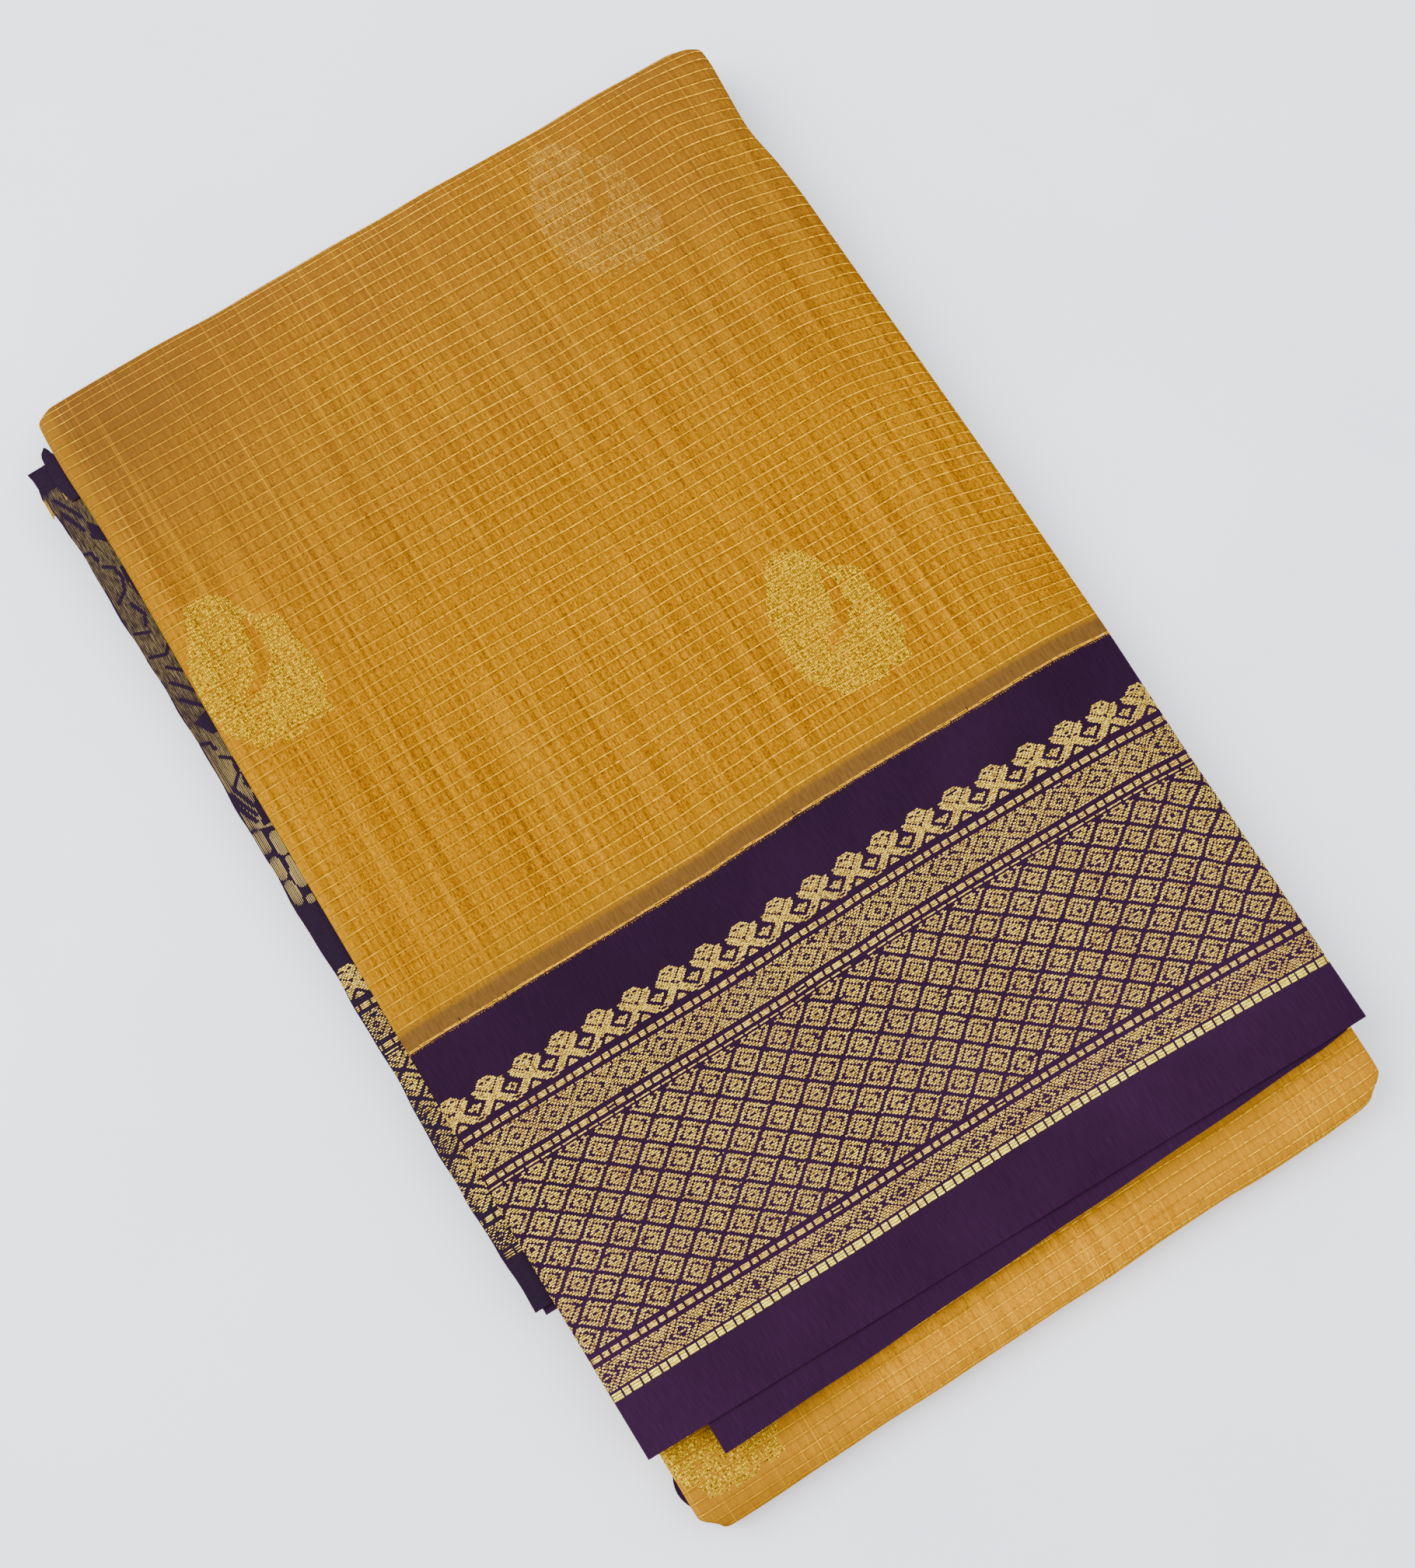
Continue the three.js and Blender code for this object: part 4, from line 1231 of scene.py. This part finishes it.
# The pallu, the rich end piece of the saree, folded into the stack: the edge of it stands out on
# the left below the flap, with a second layer under it and the round tip of a third.
PALLU_EDGE = {
    "y": [-151.2, -128, -112, -88, -60, 0, 75, 90, 120, 146, 156, 162, 167.5],
    "out": [
        -135.2, -135.5, -136.6, -136.4, -136.0, -137.0, -137.6, -138.5, -139.0, -139.8, -141.6, -140.8,
        -142.2,
    ],
}
UNDER_EDGE = {"y": [-153.4, -100, 0, 100, 150], "out": [-132.8, -133.4, -133.6, -135.0, -136.0]}
TIP_EDGE = {
    "y": [150, 154, 158, 162, 165, 168, 170, 171.5, 172.6, 173.4],
    "out": [-133.2, -134.4, -135.2, -135.5, -135.6, -135.6, -135.4, -135.0, -134.4, -133.4],
    "inner": [-129, -129, -129, -129.2, -129.4, -130.6, -131.4, -131.7, -132.1, -132.6],
}
PALLU_TOP, UNDER_TOP, TIP_TOP = 4.5, 5.7, 3.5
PALLU_INNER = -117.0


def plan_point(x, y, depth):
    """A point at plan place x, y and so far below the flap's outside."""
    return place(x, np.asarray(y, float) - JOIN_MEAN, depth)


def edge_droop(share, y):
    """How far a side layer hangs down, from its free edge (share 0) in towards the block."""
    return 0.5 * (1 - smooth(share / 0.5)) * (1 + 0.6 * np.sin(y / 21)) + 0.12 * np.sin(y / 8.5)


def side_layer(name, edge, inner_x, top, thick, material, step=4.0):
    """A layer that sticks out from under the flap, with a slightly wavy edge."""
    ys = np.arange(edge["y"][0], edge["y"][-1] + step * 0.99, step).clip(None, edge["y"][-1])
    out = np.interp(ys, edge["y"], edge["out"]) + 0.25 * np.sin(ys / 6.3) + 0.15 * np.sin(ys / 2.9)
    inner = np.interp(ys, edge["y"], edge["inner"]) if "inner" in edge else np.full(len(ys), inner_x)
    share = np.linspace(0, 1, 7)[None, :]
    x = out[:, None] + (inner - out)[:, None] * share
    y = np.repeat(ys[:, None], 7, 1)
    face = top + edge_droop(share, y)
    uvs = np.stack([x * MM, y * MM], -1)
    return closed_cloth(
        name, plan_point(x, y, face), plan_point(x, y, face + thick), uvs, material,
    )


def across_pallu(x, y, lift):
    """Where a thread that crosses the pallu lies, on the drooping layer."""
    out = np.interp(y, PALLU_EDGE["y"], PALLU_EDGE["out"])
    share = (x - out) / (PALLU_INNER - out)
    return plan_point(x, y, PALLU_TOP + edge_droop(share, y) - lift)


def along_pallu(y, x, lift):
    """Where a thread that runs along the pallu's edge lies."""
    return across_pallu(x, y, lift)


# The pallu's ground is purple cotton darkened with painted shade, the shadow of the flap above it:
# close to black between the gold, with the same fine lines of thread, 0.4 mm apart.
pallu_shaded_ground, tree = new_material("pallu_purple_cotton_painted_shade")
weave_uv = weave_place(tree)
ground_noise = noise(tree, weave_uv, (400, 2600), 2.0)
# Painted shade: near-black purples.
shaded_ground_tone = mixed(tree, ground_noise, linear("170d18"), linear("26182a"))
finish_material(tree, shaded_ground_tone, 0.7, 0.02)

pallu_cloth = side_layer(
    "pallu_cloth", PALLU_EDGE, PALLU_INNER, PALLU_TOP, 0.6, pallu_shaded_ground,
)
under_cloth = side_layer(
    "pallu_under_cloth", UNDER_EDGE, PALLU_INNER, UNDER_TOP, 0.6, purple_cotton,
)
tip_cloth = side_layer(
    "pallu_tip_cloth", TIP_EDGE, None, TIP_TOP, 0.5, pallu_shaded_ground, 1.0,
)
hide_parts("pallu_edge")
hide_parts("pallu_under_edge")
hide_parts("pallu_tip")

# Brocade on the pallu: zari floats run the other way from the border's, over large leafy shapes
# that dark curved lines part from each other. The metal has gone grey-brown at the folded edge.
pallu_zari, tree = new_material("zari_tarnished_gold")
thread_uv = weave_place(tree)
tarnish = noise(tree, thread_uv, (350, 1500), 3.0)
tarnish_tone = toned(tree, tarnish, [(0.35, "3a2e18"), (0.68, "8e7c4a")])
tarnish_parts = add_node(tree, "ShaderNodeSeparateXYZ", {"Vector": thread_uv}).outputs
petal_part = ranged(tree, tarnish_parts["X"], (0.06, 0.016), (0.0, 0.6))
petal_tone = mixed(tree, petal_part, tarnish_tone, linear("e8cc74"))
finish_material(tree, petal_tone, 0.4, 0.1, metallic=0.35)

# The dark lines and gaps of the foliage, drawn on the strip: mm down from the top of the brocade,
# and mm in from the pallu's edge.
FOLIAGE_TOP = 158.0
LEAF_LINES = [
    [(26.5, 0.6), (27.2, 2.8), (30.8, 3.3)],
    [(33.6, 3.9), (35.5, 6.5), (39.9, 7.2), (44.4, 5.8), (47.4, 1.9)],
    [(49.5, 5.3), (54.8, 7.4), (58.5, 5.8)],
    [(59.2, 1.4), (61.0, 5.6)],
    [(68.7, 1.6), (70.4, 6.6), (66.8, 9.5)],
    [(74.3, 4.3), (78.3, 8.5)],
    [(79.3, 2.6), (87.3, 9.1)],
    [(86.0, 2.5), (91.8, 7.7)],
    [(102.3, 0.6), (103.3, 3.4), (106.0, 3.9)],
    [(109.0, 3.9), (111.5, 7.0), (116.6, 6.6), (120.0, 3.2)],
    [(122.0, 0.6), (131.5, 4.6)],
    [(124.5, 0.2), (133.5, 3.6)],
    [(120.2, 2.4), (128.5, 5.2)],
    [(4.0, 3.0), (14.0, 6.2)],
    [(10.0, 2.0), (19.0, 4.8)],
]
LEAF_GAPS = [
    [(16.6, 7.0), (21.2, 10.5), (27.0, 9.6), (22.8, 5.5)],
    [(36.5, 8.2), (47.0, 8.4), (52.0, 9.8), (44.0, 10.5), (36.0, 10.0)],
    [(95.2, 2.2), (93.1, 7.6), (95.0, 9.8), (101.6, 8.8), (101.4, 5.8)],
    [(113.0, 8.3), (121.0, 6.0), (124.0, 7.5), (120.0, 9.8)],
    [(124.7, 7.0), (130.0, 5.4), (136.0, 4.9), (136.0, 12.0), (124.0, 12.0)],
]
# Small round petals at the near end of the foliage: down, in, and half of each one's size.
PETALS = [
    (140.1, 1.7, 4.7, 1.9), (143.0, 6.1, 4.6, 2.1), (150.1, 2.0, 4.5, 1.9), (149.9, 6.3, 2.0, 1.3),
    (155.2, 6.2, 4.3, 2.1), (159.3, 2.2, 4.8, 1.9), (163.6, 5.9, 1.6, 1.4),
]


def near_line(points, down, in_from_edge, reach):
    """Whether places are within reach of a drawn line."""
    near = np.zeros(down.shape, bool)
    for (sa, ca), (sb, cb) in zip(points, points[1:]):
        ds, dc = sb - sa, cb - ca
        t = np.clip(((down - sa) * ds + (in_from_edge - ca) * dc) / (ds * ds + dc * dc), 0, 1)
        near |= np.hypot(down - sa - t * ds, in_from_edge - ca - t * dc) < reach
    return near


def pallu_leaf_mask(x, y, out):
    """Large hatched leaves and small petals, with dark lines and gaps between them."""
    down, in_from_edge = FOLIAGE_TOP - y, x - out
    on = (down > 0) & (down < 135 + 0.3 * in_from_edge)
    for points in LEAF_LINES:
        on &= ~near_line(points, down, in_from_edge, 0.6)
    for outline in LEAF_GAPS:
        on &= ~inside(outline, down, in_from_edge)
    for middle, across, half_long, half_wide in PETALS:
        off_middle = np.abs(down - middle) / half_long
        off_line = np.abs(in_from_edge - across) / half_wide
        on |= off_middle ** 2.6 + off_line ** 2.6 < 0.86
    return on


rng = np.random.default_rng(31)
leaf_rows = []
marks = np.arange(-9, 160, 0.12)
for x in np.arange(-141.6, -127.5, 0.5):
    out = np.interp(marks, PALLU_EDGE["y"], PALLU_EDGE["out"])
    mask = pallu_leaf_mask(x, marks, out) & (x > out + 0.35)
    for a, b in runs_of(mask, marks, 0.4):
        leaf_rows.append((x + rng.normal(0, 0.03), a, b))
pallu_leaves = lay_threads("pallu_zari_leaves", leaf_rows, along_pallu, 0.3, 0.14, pallu_zari,
                           3.0)

PALLU_JOIN_Y = -10.8
pallu_runs = []
for v, start, end in band_rows(BORDER_BANDS + BOLD_ROWS, -135.4, -124.5, rng):
    y = PALLU_JOIN_Y - v
    start = max(start - 2, np.interp(y, PALLU_EDGE["y"], PALLU_EDGE["out"]) + 0.3)
    if end - 2 > start + 0.3:
        pallu_runs.append((y, start, end - 2))
pallu_border = lay_threads("pallu_zari_border", pallu_runs, across_pallu, 0.46, 0.14, border_zari,
                           2.5)

# Two slivers of gold cotton from the layers inside show beside the brocade at the far end.
SLIVERS = [
    (-141.3, 148.2, 155.4), (-140.8, 149.0, 156.0), (-134.6, 152.0, 161.8), (-134.1, 152.6, 162.0),
    (-133.6, 153.5, 161.0),
]
slivers = lay_threads("pallu_gold_slivers", SLIVERS, along_pallu, 0.5, 0.3, faded_yarn,
                      1.5)


# A scrap of the inner layers that shows between the two panels at the left of the near fold:
# three thin folded edges of the brocade, set one over the other.
for number, (top_z, back) in enumerate([(9.35, 0.0), (8.95, 0.9), (8.55, 0.3)]):
    ys = np.linspace(-224, -211, 9)
    bulge = np.sin(np.pi * np.linspace(0.12, 0.88, 9))
    out_x = -122.9 - (3.4 - back) * bulge
    x = out_x[:, None] + (-121.0 - out_x)[:, None] * np.linspace(0, 1, 4)[None, :]
    y = np.repeat(ys[:, None], 4, 1) + x / HALF_WIDTH / 2 * NEAR_SKEW
    z = np.full(x.shape, top_z) - 0.3 * (1 - np.linspace(0, 1, 4)[None, :])
    outer = np.stack([(x + SHIFT[0]) * MM, (y + SHIFT[1]) * MM, swollen(x, z) * MM], -1)
    inner = outer - [0, 0, 0.3 * MM]
    scrap = closed_cloth(f"near_scrap_{number + 1}", outer, inner, np.stack([x * MM, y * MM], -1),
                         purple_cotton if number != 1 else gold_cotton)
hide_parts("near_scrap")
